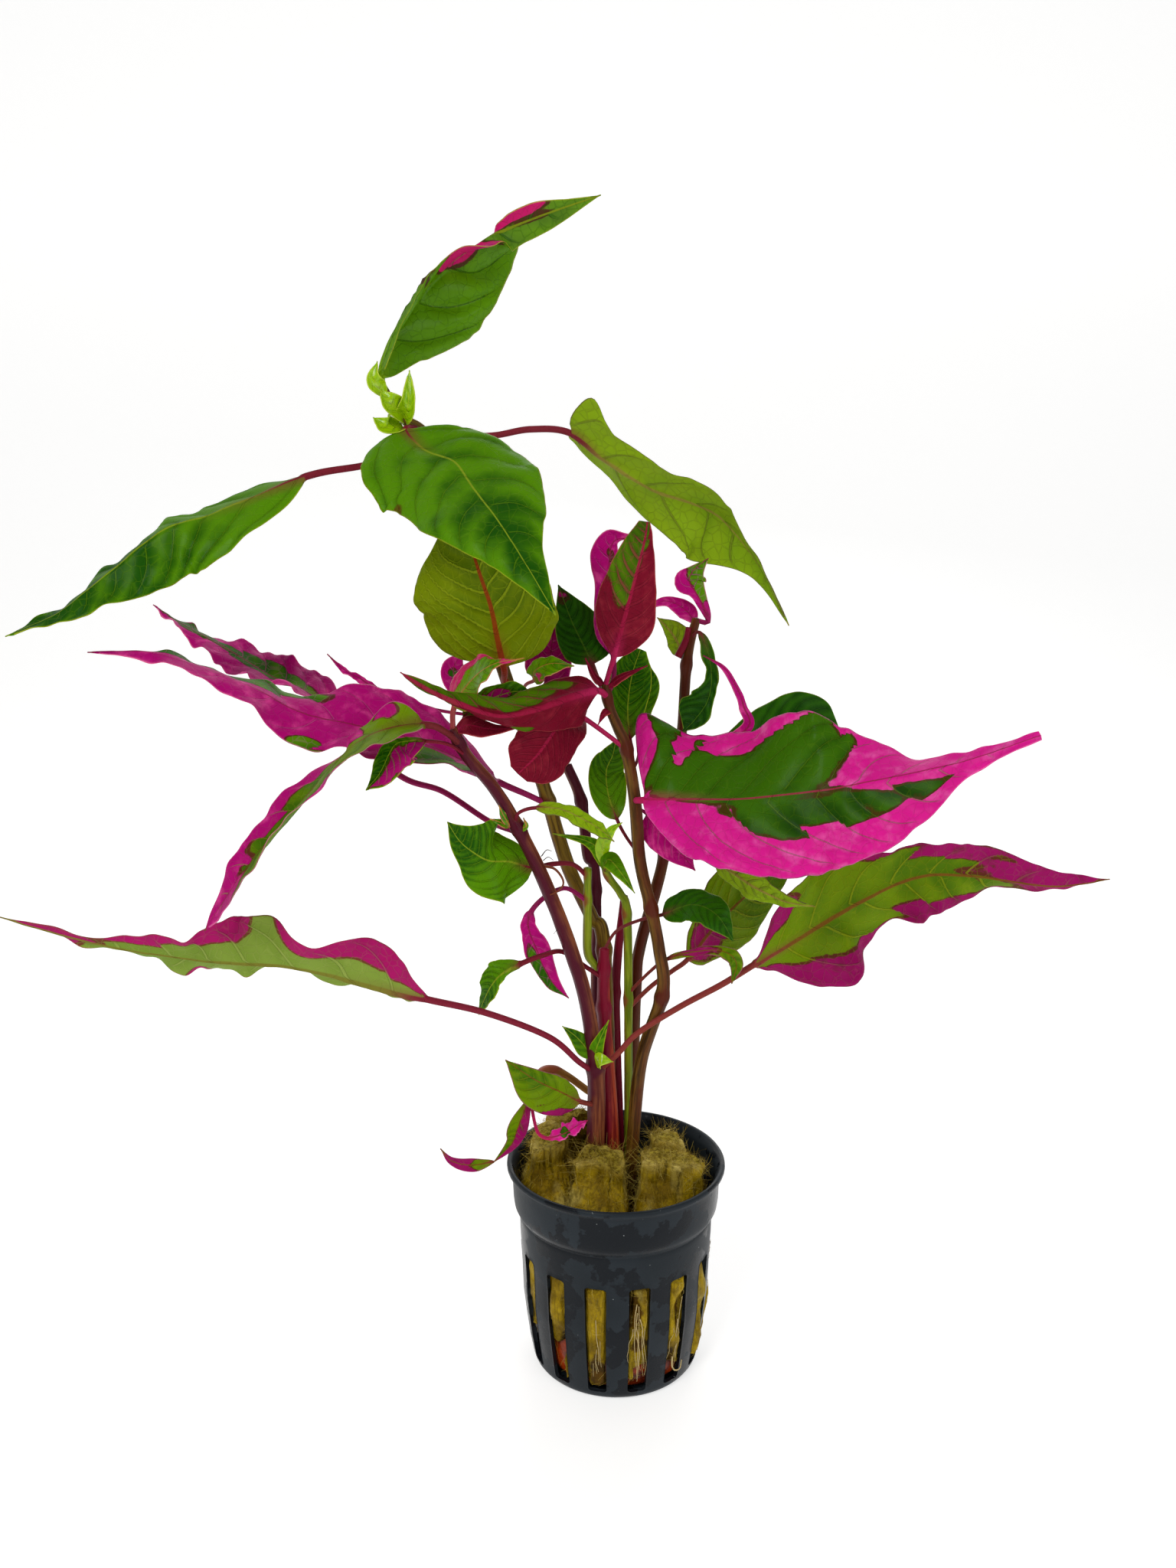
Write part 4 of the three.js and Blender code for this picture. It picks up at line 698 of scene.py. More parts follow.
stem("stem_green_right", "green", "green_stem",
     [[3.2, 2.6, 24], [3.2, 2.6, 50], [3, 3, 92], [2.5, 3, 114], [1, 2, 119], [-2, 1, 123.5], [-3, 0, 126]],
     [1, 1, 1, 1, 0.9, 0.8, 0.7], nodes=[92, 114, 124], flush_side=180, flush=0.1)
stem("shoot_low", "tan", "green_stem",
     [[-4.5, 4.2, 62], [-4.5, 4.2, 65.8], [-7, 3.5, 68], [-12, 1, 73], [-15.5, -2, 76], [-18.5, -7, 77],
      [-20.5, -14, 72]],
     [0.8, 0.8, 0.9, 0.9, 0.9, 0.8, 0.7], nodes=[76.3], flush_side=90, flush=0.45)


# Leaves. Thin waxy blades on round stalks that run on as the midrib. Each is drawn by its midrib,
# the half widths to the left and right of it, and how each half leans and curls. Green, brown and
# magenta patches follow a field that is set leaf by leaf.
BLADE = 0.36
BLADE_STEP, STALK_STEP = 0.62, 0.9
STALK_RADIUS = {"large": 0.8, "middle": 0.64, "small": 0.44, "tiny": 0.4}
HALF_COLUMNS = {"large": 17, "middle": 14, "small": 10, "tiny": 8}
CELLS = 64
FACING_VIEWER = ((0, -0.9, 0.2),)
LEVEL = ((0,), (0,))
LEAF_TONES = ("Green", "Deep", "Olive", "Pink", "Rosy", "Vein", "Rib", "Margin", "Under", "Stalk")
LEAF_FINISHES = {}


def leaf_group():
    """The colouring of a blade, as a node group. The blush field, broken up by noise, turns from
    green through olive brown to pink. Veins, the midrib and a thin margin are drawn over it, and
    the lower face is mixed with a paler tone."""
    tree = bpy.data.node_groups.new("leaf_paint", "ShaderNodeTree")
    sockets = [(tone, "INPUT", "Color") for tone in LEAF_TONES]
    sockets += [("Under share", "INPUT", "Float"), ("Roughness low", "INPUT", "Float")]
    sockets += [("Color", "OUTPUT", "Color"), ("Roughness", "OUTPUT", "Float"), ("Height", "OUTPUT", "Float")]
    for name, way, kind in sockets:
        tree.interface.new_socket(name, in_out=way, socket_type="NodeSocket" + kind)
    given = tree.nodes.new("NodeGroupInput").outputs

    cloud, fine = noise(tree, 105, 3), noise(tree, 520, 3)
    under, stalk = read(tree, "underside"), read(tree, "stalk")
    from_rib, from_margin = read(tree, "from_rib"), read(tree, "from_margin")
    apart = calc("ABSOLUTE", calc("FRACT", read(tree, "vein_phase") + 0.5) - 0.5)
    field = read(tree, "blush") + (cloud - 0.5) * 0.30 + (fine - 0.5) * 0.16 - apart * 0.12
    # The green deepens along the sunk side veins and lightens on the bulges between them: painted shade in
    # the vein creases.
    tone = read(tree, "tone") + (cloud - 0.5) * 1.1 + (0.25 - apart) * 0.7
    green = mix(ramp(tone, 0.15, 0.85), given["Green"], given["Deep"])
    green = mix(under * given["Under share"], green, given["Under"])
    rosy = ramp(noise(tree, 260, 4) - apart * 0.25, 0.42, 0.72)
    flushed = ramp(field, 0.55, 0.60)
    base = mix(ramp(field, 0.42, 0.47), green, given["Olive"])
    base = mix(flushed, base, mix(rosy, given["Pink"], given["Rosy"]))

    inputs = {"Vector": object_place(tree), "Scale": 430}
    cells = add_node(tree, "ShaderNodeTexVoronoi", "Distance", inputs, feature="DISTANCE_TO_EDGE")
    net = 1 - ramp(cells, 0.0, 0.075)
    line = 1 - ramp(apart * read(tree, "vein_step") - under * 0.2, 0.06, 0.30)
    line = line * ramp(from_margin, 0.4, 2.6)
    rib = 1 - ramp(from_rib - under * 0.5, 0.2, 0.6)
    margin = (1 - ramp(from_margin, 0.06, 0.3)) * (1 - rib)
    plainly = 1 - flushed * 0.8
    base = mix(net * 0.15 * plainly, base, given["Vein"])
    base = mix(line * 0.36 * (1 - under), base, given["Vein"])
    marks = calc("MAXIMUM", line, net * 0.2) * 0.55 * under * plainly
    base = mix(marks, base, given["Vein"])
    base = mix(margin * 0.75, base, given["Margin"])
    base = mix((1 - ramp(from_rib, 0.6, 4.0)) * stalk * 0.6, base, given["Stalk"])
    base = mix(rib * 0.92, base, mix(ramp(stalk, 0.2, 0.8), given["Rib"], given["Stalk"]))

    rough = cloud * 0.22 + given["Roughness low"] + under * 0.16
    relief = (line + net * 0.35) * (under * 0.42 - 0.20)
    height = relief + fine * 0.10 + noise(tree, 2200, 2) * 0.035
    output = tree.nodes.new("NodeGroupOutput")
    set_inputs(output, {"Color": base, "Roughness": rough, "Height": height})
    return tree


LEAF_GROUP = leaf_group()


def leaf_finish(look, *tones, share=0.5, gloss=0.40, coat=0.03):
    """One colouring of leaf: the group with its colours, over a thin waxy blade that light
    passes into a little."""
    material, tree, shader = new_material("leaf_" + look)
    group = tree.nodes.new("ShaderNodeGroup")
    group.node_tree = LEAF_GROUP
    set_inputs(group, {tone: colour(*value) for tone, value in zip(LEAF_TONES, tones)})
    set_inputs(group, {"Under share": share, "Roughness low": gloss})
    base, rough, height = group.outputs
    finish_material(shader, base, rough, height, {
        **SOFT_SKIN, "Coat Weight": coat, "Coat Roughness": 0.18, "Specular IOR Level": 0.045,
        "Subsurface Radius": (0.0008, 0.0008, 0.0003)})
    LEAF_FINISHES[look] = material


MAGENTA = (168, 8, 106)
leaf_finish("fresh", (80, 132, 0), (24, 76, 0), (80, 56, 6), MAGENTA, (186, 36, 96),
            (108, 152, 12), (130, 150, 30), (160, 170, 30), (100, 138, 24), (118, 16, 44))
# On the crease look the vein tone is a deep green: painted shade in the sunk vein creases.
leaf_finish("crease", (84, 134, 0), (14, 66, 0), (72, 44, 18), (190, 16, 96), MAGENTA,
            (30, 84, 0), (118, 132, 16), (160, 166, 40), (100, 138, 30), (120, 160, 6), coat=0.1)
leaf_finish("olive", (112, 130, 0), (68, 96, 0), (100, 78, 26), MAGENTA, (190, 50, 130),
            (146, 162, 22), (140, 50, 12), (150, 160, 26), (106, 124, 2), (146, 44, 24), share=0.3)
leaf_finish("lime", (104, 134, 0), (62, 102, 0), (92, 42, 26), (150, 12, 92), (122, 24, 66),
            (138, 150, 16), (120, 76, 22), (150, 30, 96), (104, 130, 8), (132, 50, 48), share=0.2)
leaf_finish("blush", (104, 134, 0), (62, 102, 0), (92, 42, 26), (172, 4, 110), (212, 60, 142),
            (138, 150, 16), (120, 60, 30), (212, 100, 152), (104, 130, 8), (112, 30, 44), share=0.2)
leaf_finish("hot", (54, 100, 2), (20, 60, 0), (66, 50, 8), (212, 24, 138), (224, 84, 164),
            (92, 128, 16), (150, 40, 66), (228, 100, 164), (190, 80, 140), (180, 30, 86), share=0.3)
leaf_finish("rose", (82, 130, 2), (38, 88, 0), (88, 34, 30), (172, 4, 110), (212, 60, 142),
            (200, 90, 146), (140, 24, 70), (222, 104, 152), (140, 40, 100), (142, 28, 82), share=0.2)
leaf_finish("crimson", (76, 116, 0), (36, 74, 0), (84, 36, 16), (112, 10, 34), (134, 30, 46),
            (140, 40, 56), (146, 20, 56), (184, 76, 76), (92, 118, 10), (176, 34, 84), share=0.2)
leaf_finish("dark", (40, 92, 2), (12, 54, 0), (56, 38, 12), (150, 8, 92), (176, 40, 116),
            (50, 98, 12), (70, 104, 20), (120, 140, 40), (82, 114, 40), (118, 46, 50))
leaf_finish("pale", (132, 166, 14), (92, 136, 2), (110, 84, 40), MAGENTA, (180, 40, 120),
            (104, 112, 34), (146, 134, 56), (96, 72, 56), (134, 166, 26), (120, 16, 48), share=0.55)
leaf_finish("grey", (124, 148, 54), (96, 124, 26), (110, 60, 40), (165, 20, 96), (150, 36, 90),
            (150, 166, 80), (120, 116, 40), (150, 60, 70), (128, 152, 62), (124, 16, 50))
leaf_finish("bud", (150, 190, 4), (104, 160, 0), (130, 110, 20), MAGENTA, (190, 60, 120),
            (180, 204, 40), (160, 186, 20), (190, 206, 60), (146, 180, 20), (150, 180, 10),
            gloss=0.14, coat=0.5)
leaf_finish("sprout", (96, 144, 0), (44, 104, 0), (130, 80, 40), (190, 26, 96), (212, 80, 126),
            (150, 160, 30), (170, 120, 50), (206, 110, 90), (112, 136, 20), (176, 70, 76),
            gloss=0.12, coat=0.25)


def both(sides, u):
    """Two lists of values, for the left and the right half, as smooth curves along the blade."""
    return np.stack([spline(side, u)[:, 0] for side in sides], 1)


def leaf(name, look, size, rib, left, right=None, stalk=(), face=FACING_VIEWER, root=None,
         rise=LEVEL, curl=LEVEL, blunt=0.12, sweep=LEVEL, blush=0.1, patches=(), ruffle=(0.35, 3.3),
         quilt=0.032, veins=7, shade=0, replaces=None):
    """Rings are carried along the stalk and the midrib. On the stalk a ring is round. On the blade
    each half is an arc from the midrib: it starts at the lean angle, turns by the curl on its way
    to the margin and is as long as the half width. Sweep slides the margin along the midrib by
    a share of the width. The blade bulges between its side veins, its margin waves, and the
    midrib stands out below. Patches of the blush field are ellipses given by their place along and
    across the blade, their size, and the value they blend to; they step at the side veins."""
    seed = sum(name.encode())
    rng = np.random.default_rng(seed)

    # The path of the stalk and the midrib, with the way along it and the two ways across
    route = [*stalk, *rib]
    if root:
        path = STEMS[root[0]][0]
        at = np.flatnonzero(path[:, 2] <= root[1])[-1]
        route.insert(0, path[min(at, len(path) - 2)])
    route = np.array(route, float)
    spans, first = len(route) - 1, len(route) - len(rib)
    stalk_length = np.linalg.norm(np.diff(route[:first + 1], axis=0), axis=1).sum()
    blade_length = np.linalg.norm(np.diff(route[first:], axis=0), axis=1).sum()
    t = np.linspace(first / spans, 1, max(30, int(blade_length / BLADE_STEP)))
    if first:
        on_stalk = np.linspace(0, first / spans, max(3, int(stalk_length / STALK_STEP)), endpoint=False)
        t = np.concatenate([on_stalk, t])
    u = np.clip((t * spans - first) / (spans - first), 0, 1)
    line = spline(route, t)
    ahead = unit(spline(route, t + 1e-3) - spline(route, t - 1e-3))
    normal = spline(face, u)
    normal = unit(normal - ahead * (normal * ahead).sum(-1, keepdims=True))
    rightward = np.cross(ahead, normal)

    # The stalk's radius, and the width, lean and turn of each half of the blade
    flare = 1 + 0.35 * np.exp(-t * spans / 0.25) * bool(root)
    bar = STALK_RADIUS[size] * np.minimum(1, 0.8 + 0.2 * t * spans / max(first, 1)) * flare * (1 - u)
    bar = bar + 0.4 * BLADE * u
    entry = np.sqrt(1 - (1 - np.minimum(u / blunt, 1)) ** 2)[:, None]
    half = np.maximum(both((left, left if right is None else right), u), 0) * entry
    arc = np.stack([u * blade_length, 0 * u + seed, 0 * u], 1)[:, None] + [[0, 0, 3.1], [0, 0, 47.7]]
    half = half * (1 + 0.04 * (lumps(arc, 5, 17) + 0.5 * lumps(arc, 1.9, 18)))
    if not root:
        bar = bar * np.minimum(1, 0.4 + u / 0.1)
    bar = bar[:, None]
    opened = np.clip((half - bar) / (2 * bar), 0, 1)
    width = np.maximum(half, bar)
    lean, bend = np.radians(both(rise, u)) * opened, np.radians(both(curl, u)) * opened
    bend = np.where(np.abs(bend) < 1e-4, 1e-4, bend)

    # The flat surface, one row of points across the blade at each station
    across = np.linspace(-1, 1, 2 * HALF_COLUMNS[size] + 1)
    across = 0.45 * np.sin(across * np.pi / 2) + 0.55 * across
    part, sign, pick = np.minimum(np.abs(across), 1), np.sign(across), (across > 0).astype(int)
    width, lean, bend, opened = width[:, pick], lean[:, pick], bend[:, pick], opened[:, pick]
    slide = both(sweep, u)[:, pick] * part ** 2 * width * opened
    turn = lean + bend * part
    side = (np.sin(turn) - np.sin(lean)) / bend * width * sign
    lift = (np.cos(lean) - np.cos(turn)) / bend * width
    line, ahead, normal, rightward = line[:, None], ahead[:, None], normal[:, None], rightward[:, None]
    surface = line + rightward * side[..., None] + normal * lift[..., None] + ahead * slide[..., None]
    upward = normal * np.cos(turn)[..., None] - rightward * (np.sin(turn) * sign)[..., None]

    # Its relief: bulges between the side veins, a waved margin and a fine grain
    from_rib = part * width
    from_margin = (1 - part) * width + (1 - opened) * 3
    step = max(blade_length / (veins + 2), 2.2)
    phase = (u * blade_length)[:, None] - from_rib * (0.62 + 0.75 * part ** 2)
    phase = phase / step + 0.17 * sign
    bulge = np.abs(np.sin(np.pi * phase)) ** 0.7 - 0.55
    soft = opened * np.clip(from_rib / 2.5, 0, 1) * np.clip(from_margin / 2.5, 0, 1)
    turns = ruffle[1] * u[:, None] * np.array([1, 1.9, 3.4])[:, None, None] + 0.15 * sign
    turns = turns + rng.uniform(0, 1, (3, 2))[:, None, pick]
    wave = (np.array([1, 0.5, 0.22])[:, None, None] * np.sin(2 * np.pi * turns)).sum(0)
    wave = ruffle[0] * part ** 2 * wave * opened * np.sin(np.pi * u)[:, None] ** 0.5
    grain = (0.2 * lumps(surface, 5, 11) + 0.07 * lumps(surface, 1.7, 12)) * opened
    surface = surface + upward * (quilt * width * bulge * soft + wave + grain)[..., None]

    # Two faces, a blade's thickness apart, that meet at the margin and go round the stalk
    thick = 0.5 * BLADE * np.sqrt(1 - part ** 10) * opened + bar * np.sqrt(1 - part ** 2) * (1 - opened)
    ridge = bar * np.exp(-(from_rib / np.maximum(bar, 0.15)) ** 2) * opened
    top = surface + upward * (thick + 0.25 * ridge)[..., None]
    low = surface - upward * (thick + 0.95 * ridge)[..., None]
    rings = np.concatenate([top, low[:, -2:0:-1]], 1)
    points, faces = skin(rings, line[0, 0], line[-1, 0] + ahead[-1, 0] * 0.15)
    piece = make_piece(name + "_blade", points, faces, LEAF_FINISHES[look], replaces or [name])

    # The colouring: patches that step at the side veins, and what else the finish reads
    cell = np.floor(phase).astype(int) % CELLS + CELLS * pick
    along = u[:, None] + rng.normal(0, 0.022, 2 * CELLS)[cell]
    lateral = across + rng.normal(0, 0.11, 2 * CELLS)[cell] * np.clip(part * 3, 0, 1)
    field = np.full(along.shape, float(blush))
    for u0, v0, ru, rv, value in patches:
        share = np.clip(1.5 - np.hypot((along - u0) / ru, (lateral - v0) / rv), 0, 1)
        field = field + (value - field) * share * share * (3 - 2 * share)
    tone = shade + 0.15 + 0.8 * u[:, None] * (1 - 0.5 * part) + 0.3 * lumps(surface, 14, 31)

    def write(key, upper, lower):
        """Stores a value for the points of the upper face, the lower face and the two ends."""
        upper, lower = np.broadcast_to(upper, along.shape), np.broadcast_to(lower, along.shape)
        whole = np.concatenate([upper, lower[:, -2:0:-1]], 1).ravel()
        store(piece, key, np.append(whole, whole[[0, -1]]).astype(float))

    rib_share = from_rib * opened / np.maximum(bar, 0.2)
    on_stalk = np.clip(1 - u / 0.3, 0, 1)[:, None] ** 1.5
    for key, values in dict(blush=field, tone=tone, vein_phase=phase, vein_step=step, from_rib=rib_share,
                            from_margin=from_margin, stalk=on_stalk).items():
        write(key, values, values)
    write("underside", 0, opened > 0.2)


# Top tier, four large leaves at the head of the tallest stem
# The upright leaf's shade of -0.12 paints its green lighter: painted light on a blade that faces away from
# the key light.
leaf("leaf_top_upright", "crease", "large",
     rib=[[-53, 3, 238], [-51.5, 6, 246], [-48, 9, 252.5], [-43.5, 12, 259], [-37.5, 14, 265],
     [-31, 16, 269.5], [-24, 17, 273], [-15, 18, 276.5], [-4, 18, 280]],
     left=[4, 9, 12, 10, 6.5, 5.5, 4.4, 3.2, 0], right=[4, 6, 8, 10.5, 13, 14.5, 15, 14, 12.5, 11, 8.5,
     2.6, 3, 3.4, 2.5, 1.2, 0], face=[[0.4, -0.9, 0.1], [0.4, -0.9, 0.1], [0.4, -0.9, 0.1],
     [0.4, -0.9, 0.1], [0.45, -0.85, -0.1], [0.6, -0.4, -0.7], [-0.2, 0.9, 0.3], [-0.2, 0.9, 0.3],
     [-0.2, 0.9, 0.3]], root=("stem_tall", 236), rise=([90, 90, 85, 80, 75, 60, 0, 0, 0],
     [5, 0, 0, 0, 0, 0, 0, 0, 0]), curl=([0], [-20]), blush=0.06, patches=[(0.54, -0.7, 0.11, 0.9, 0.93),
     (0.36, -0.7, 0.08, 0.7, 0.5), (0.76, 0.95, 0.13, 0.9, 0.92), (0.82, 0.1, 0.14, 0.35, 0.5)],
     quilt=0.12, veins=4, ruffle=(0.3, 3), shade=-0.12, sweep=([0, 0, 0, 0, 0.2, 0.4, 0, 0, 0],
     [0, 0, 0, 0.05, 0.1, 0.15, 0.2, 0.35, 0.5, 0.9, 1.1, 0.2, 0, 0, 0, 0, 0]))
leaf("leaf_top_left", "fresh", "large",
     stalk=[[-55, -2, 219]], rib=[[-69, -5, 216], [-88, -9, 208], [-99, -12, 204], [-110, -15, 195],
     [-120, -18, 187], [-131, -20, 182]], left=[4, 11.5, 12, 8, 3.5, 0], right=[4, 11.5, 12, 8, 4, 0],
     face=[[-0.2, -0.6, 0.75]], root=("stem_tall", 224.5), rise=([-15, -15, -35, -30, 0, 0],
     [-20, -20, -25, -25, -20, 0]), blush=0.06, ruffle=(0.8, 4), quilt=0.06)
leaf("leaf_top_front", "fresh", "large",
     rib=[[-47, -3, 226], [-42, -10, 221], [-35, -18, 218], [-30, -27, 212], [-25, -35, 206],
     [-20, -42, 199], [-13, -50, 188]], left=[5, 10.5, 12, 13.5, 11, 5, 0],
     right=[6, 16, 18, 14.5, 11, 5.5, 0], face=[[0.1, -0.5, 0.85], [0.1, -0.8, 0.55], [0.2, -0.9, 0.4]],
     root=("stem_tall", 227), rise=([30, 30, 20, 20, 20, 15, 0], [10, 10, 0, 0, 5, 0, 0]), curl=([-30],
     [-30]), blush=0.05, patches=[(0.42, 0.95, 0.06, 0.3, 0.48)], ruffle=(0.5, 2.4), quilt=0.036, veins=5)
leaf("leaf_top_right", "pale", "large",
     stalk=[[-36, 6, 225.5], [-28, 8, 226], [-20, 10, 227.5]], rib=[[-11, 14, 227], [-2, 16, 220.5],
     [8.5, 17, 214.5], [20.5, 17, 210.5], [27, 17, 206], [34.5, 15, 196], [41, 12, 182.5]],
     left=[3, 7, 9, 12, 12.5, 3.5, 0], right=[2, 8, 12.5, 9.4, 8.3, 8.4, 8.6, 8.8, 9, 9.3, 9.6, 9.8, 10,
     9.8, 9.5, 9.2, 8.8, 7.6, 6.5, 5.2, 4, 3, 2, 1, 0], face=[[0.3, 0.75, 0.6]], root=("stem_tall", 225),
     rise=([30, 30, 5, -25, -15, -20, 0], [-10, -10, -15, -30, -40, -55, -50]),
     blunt=0.02, blush=0.05, sweep=([0], [-0.8, -0.35, 0, 0, 0, 0, 0]),
     quilt=0.08, veins=4, ruffle=(0.4, 3))
# Middle, round the tips of the stems
leaf("leaf_ovate", "olive", "large",
     stalk=[[-26.5, 2, 170.5], [-26, -2, 172]], rib=[[-26, -5, 174.5], [-27, -9, 181], [-28, -13, 188],
     [-30, -16, 195], [-32, -16, 202], [-33, -12, 210]], left=[9, 13.5, 14, 13, 10, 0],
     right=[11.5, 15.5, 16.5, 16.4, 14, 0], face=[[0.1, 0.9, -0.2]], root=("stem_tall", 170),
     rise=([0, 10, 0, 10, 25, 20], [5, 5, 5, 15, 25, 15]), curl=([10], [10]),
     blush=0.05, veins=6, quilt=0.05, ruffle=(0.3, 3))
leaf("leaf_back_dark", "dark", "middle",
     stalk=[[-4.5, 1, 170.5]], rib=[[-6, 5, 174], [-8, 8, 178], [-11, 12, 184], [-14, 14, 192]],
     left=[3, 5.5, 4, 0], right=[4, 8, 6, 0], face=[[0.1, -0.9, 0.3]], root=("stem_right", 167),
     patches=[(0.9, 0, 0.15, 1, 0.6)])
leaf("leaf_crimson_upright", "crimson", "middle",
     stalk=[[-2, -6, 173.5]], rib=[[-1, -9, 177], [1, -13, 185], [3, -15, 193], [5, -14, 201],
     [6, -11, 206]], left=[4, 7, 5, 2.4, 0.6], right=[4, 7, 6.5, 4.5, 2], face=[[0, 0.9, -0.3]],
     root=("stem_right", 171), rise=([-10, -10, -10, 10, 0], [5, 5, 5, -5, 0]),
     blunt=0.3, blush=0.95, patches=[(0.52, 0.14, 0.22, 0.14, 0.03), (0.64, 0.3, 0.3, 0.26, 0.03),
     (0.72, 0.6, 0.26, 0.6, 0.03), (0.95, 0.4, 0.2, 0.9, 0.03), (1, -0.1, 0.12, 0.5, 0.1)])
leaf("leaf_pink_upright", "rose", "middle",
     stalk=[[-1, 1, 171]], rib=[[-1, 5, 176], [-2, 9, 187], [-2, 9, 196], [-1, 8, 202], [3, 6, 203]],
     left=[1.5, 3.8, 3.6, 3.2, 4.2, 4.6, 3.4, 1.6, 0.8], right=[1.5, 3.5, 4, 3, 2.5, 2, 1.2, 0.5, 0],
     face=[[0, -0.9, -0.1]], root=("stem_right", 167.5), blush=0.9, patches=[(0.6, 0.2, 0.09, 0.45, 0.52)])
leaf("leaf_magenta_small", "rose", "small",
     stalk=[[-20, 9, 165]], rib=[[-17, 12, 169], [-16, 15, 175], [-15, 17, 183]], left=[5, 5.5, 0],
     right=[5, 5, 0], root=("stem_tall", 162), blush=0.95)
leaf("leaf_boat", "crimson", "large",
     rib=[[-5, -7, 169], [-11, -12, 168], [-18, -17, 166], [-26, -21, 165], [-34, -24, 168],
     [-40, -26, 171], [-46, -27, 175]], left=[4, 6.5, 7.5, 7, 4, 2, 0],
     right=[9, 8.5, 6.5, 6.5, 3.5, 2, 0], face=[[0, 0.9, 0.3]], root=("stem_right", 167.5),
     rise=([60, 70, 80, 80, 80, 70, 40], [5, 5, 20, 50, 55, 50, 40]),
     blunt=0.06, blush=0.95, patches=[(0.52, -0.66, 0.4, 0.5, 0.03), (0.88, 0, 0.22, 1.5, 0.03),
     (0.35, 0.98, 0.05, 0.15, 0.1)])
leaf("leaf_crimson_hanging", "crimson", "middle",
     stalk=[[-2.5, -3.8, 158.5], [-8, -3.8, 162.5]], rib=[[-11.5, -4.8, 164.5], [-14.5, -9.5, 160.5],
     [-18, -12, 155.5], [-22.5, -12.5, 151]], left=[6, 7.5, 7.5, 7, 6.6, 6, 2.5],
     right=[7, 8.5, 8.6, 8.6, 8.4, 7, 3], face=[[0, 0.9, 0.3]], root=("stem_right", 155),
     rise=([-15, -15, 0, 0], [20, 20, 15, 0]), blunt=0.05, blush=0.97, sweep=([0, 0, 0, 0, 0.1, 0.1, 0],
     [-1.2, -0.7, -0.2, 0, 0, 0.1, 0]), ruffle=(0.6, 2.2), shade=0.2)
leaf("leaf_pink_back", "rose", "small",
     stalk=[[-28, 10, 163]], rib=[[-34, 12, 165], [-38, 14, 168], [-39.5, 15, 172], [-37, 15, 176]],
     left=[2, 3, 3, 0], root=("stem_tall", 160), blush=0.9, patches=[(0.5, 0, 0.2, 0.4, 0.35)])
leaf("leaf_shoot_glossy", "sprout", "middle",
     rib=[[-36.5, -12.5, 166], [-32, -15, 172.3], [-27.5, -18.5, 175.7], [-20.5, -21, 177.5]],
     left=[4, 5.5, 4.5, 1, 0], right=[4, 5, 3.5, 1, 0], face=[[-0.3, -0.7, 0.6]], root=("stem_front", 162),
     blush=0.2, patches=[(0.3, -1, 0.4, 0.4, 0.85), (0.85, 0, 0.12, 1.5, 0.7)])
leaf("leaf_curled", "sprout", "small",
     stalk=[[-22.5, 1, 167.5], [-21, -3, 170]], rib=[[-19, -6, 171.3], [-18.5, -8.3, 173.6],
     [-15, -10, 175.3], [-10, -10, 174.8]], left=[2, 2.5, 2, 0], right=[2, 3, 3, 0],
     face=[[-0.3, -0.8, 0.3], [0, -0.6, 0.7]], root=("stem_tall", 165),
     blush=0.15, patches=[(0.3, 0.5, 0.2, 0.4, 0.7)])
leaf("leaf_shoot_green", "fresh", "small",
     stalk=[[3.5, 1, 154]], rib=[[3, 3.5, 156.5], [2.5, 6, 162.5], [3, 8, 168], [4, 9, 172.5],
     [5.5, 9, 177]], left=[1.5, 4, 5, 4.5, 1.5], root=("stem_right", 153), blush=0.05)
leaf("leaf_shoot_narrow", "fresh", "small",
     stalk=[[5, 4, 152]], rib=[[5.5, 9, 156], [6, 12, 162], [8, 13, 168], [8, 13, 173]],
     left=[1.5, 2.5, 2.5, 0], root=("stem_right", 149.5))
leaf("leaf_back_folded", "rose", "middle",
     rib=[[21.8, 13, 183.3], [20.6, 12.7, 187], [18.7, 12.8, 190.2], [17.1, 13, 193], [18.5, 14, 195.7],
     [21.8, 15, 198.2]], left=[0.5, 1.2, 1.6, 3.4, 1.2, 0], right=[0.6, 1.5, 2.6, 4.2, 2.9, 0],
     root=("stem_back", 186), blush=0.08, patches=[(0.45, -0.6, 0.3, 0.7, 0.93),
     (0.1, 0.2, 0.12, 1.5, 0.8)])
leaf("leaf_back_pale", "pale", "small",
     stalk=[[16.5, 16, 173]], rib=[[16, 17, 175], [15, 18, 178], [13, 19, 181], [10, 19, 184]],
     left=[2, 4, 3, 0], right=[2, 2.5, 1.5, 0], face=[[0, 0.9, 0.2]], root=("stem_back", 172))
leaf("leaf_back_twisted", "dark", "small",
     rib=[[19.5, 10, 181], [21.5, 8, 176], [22.3, 7, 170], [21.3, 6, 165], [18.5, 5, 161], [15.5, 4, 158]],
     left=[1.2, 1.6, 1.6, 1.7, 2.6, 0], right=[1.2, 1.8, 2.2, 5, 6, 0], root=("stem_back", 179.5),
     rise=([10], [10]), curl=([20], [30]), blunt=0.2, blush=0.08, patches=[(0.55, 0.1, 0.06, 0.1, 0.5)],
     quilt=0.06, ruffle=(0.5, 3))
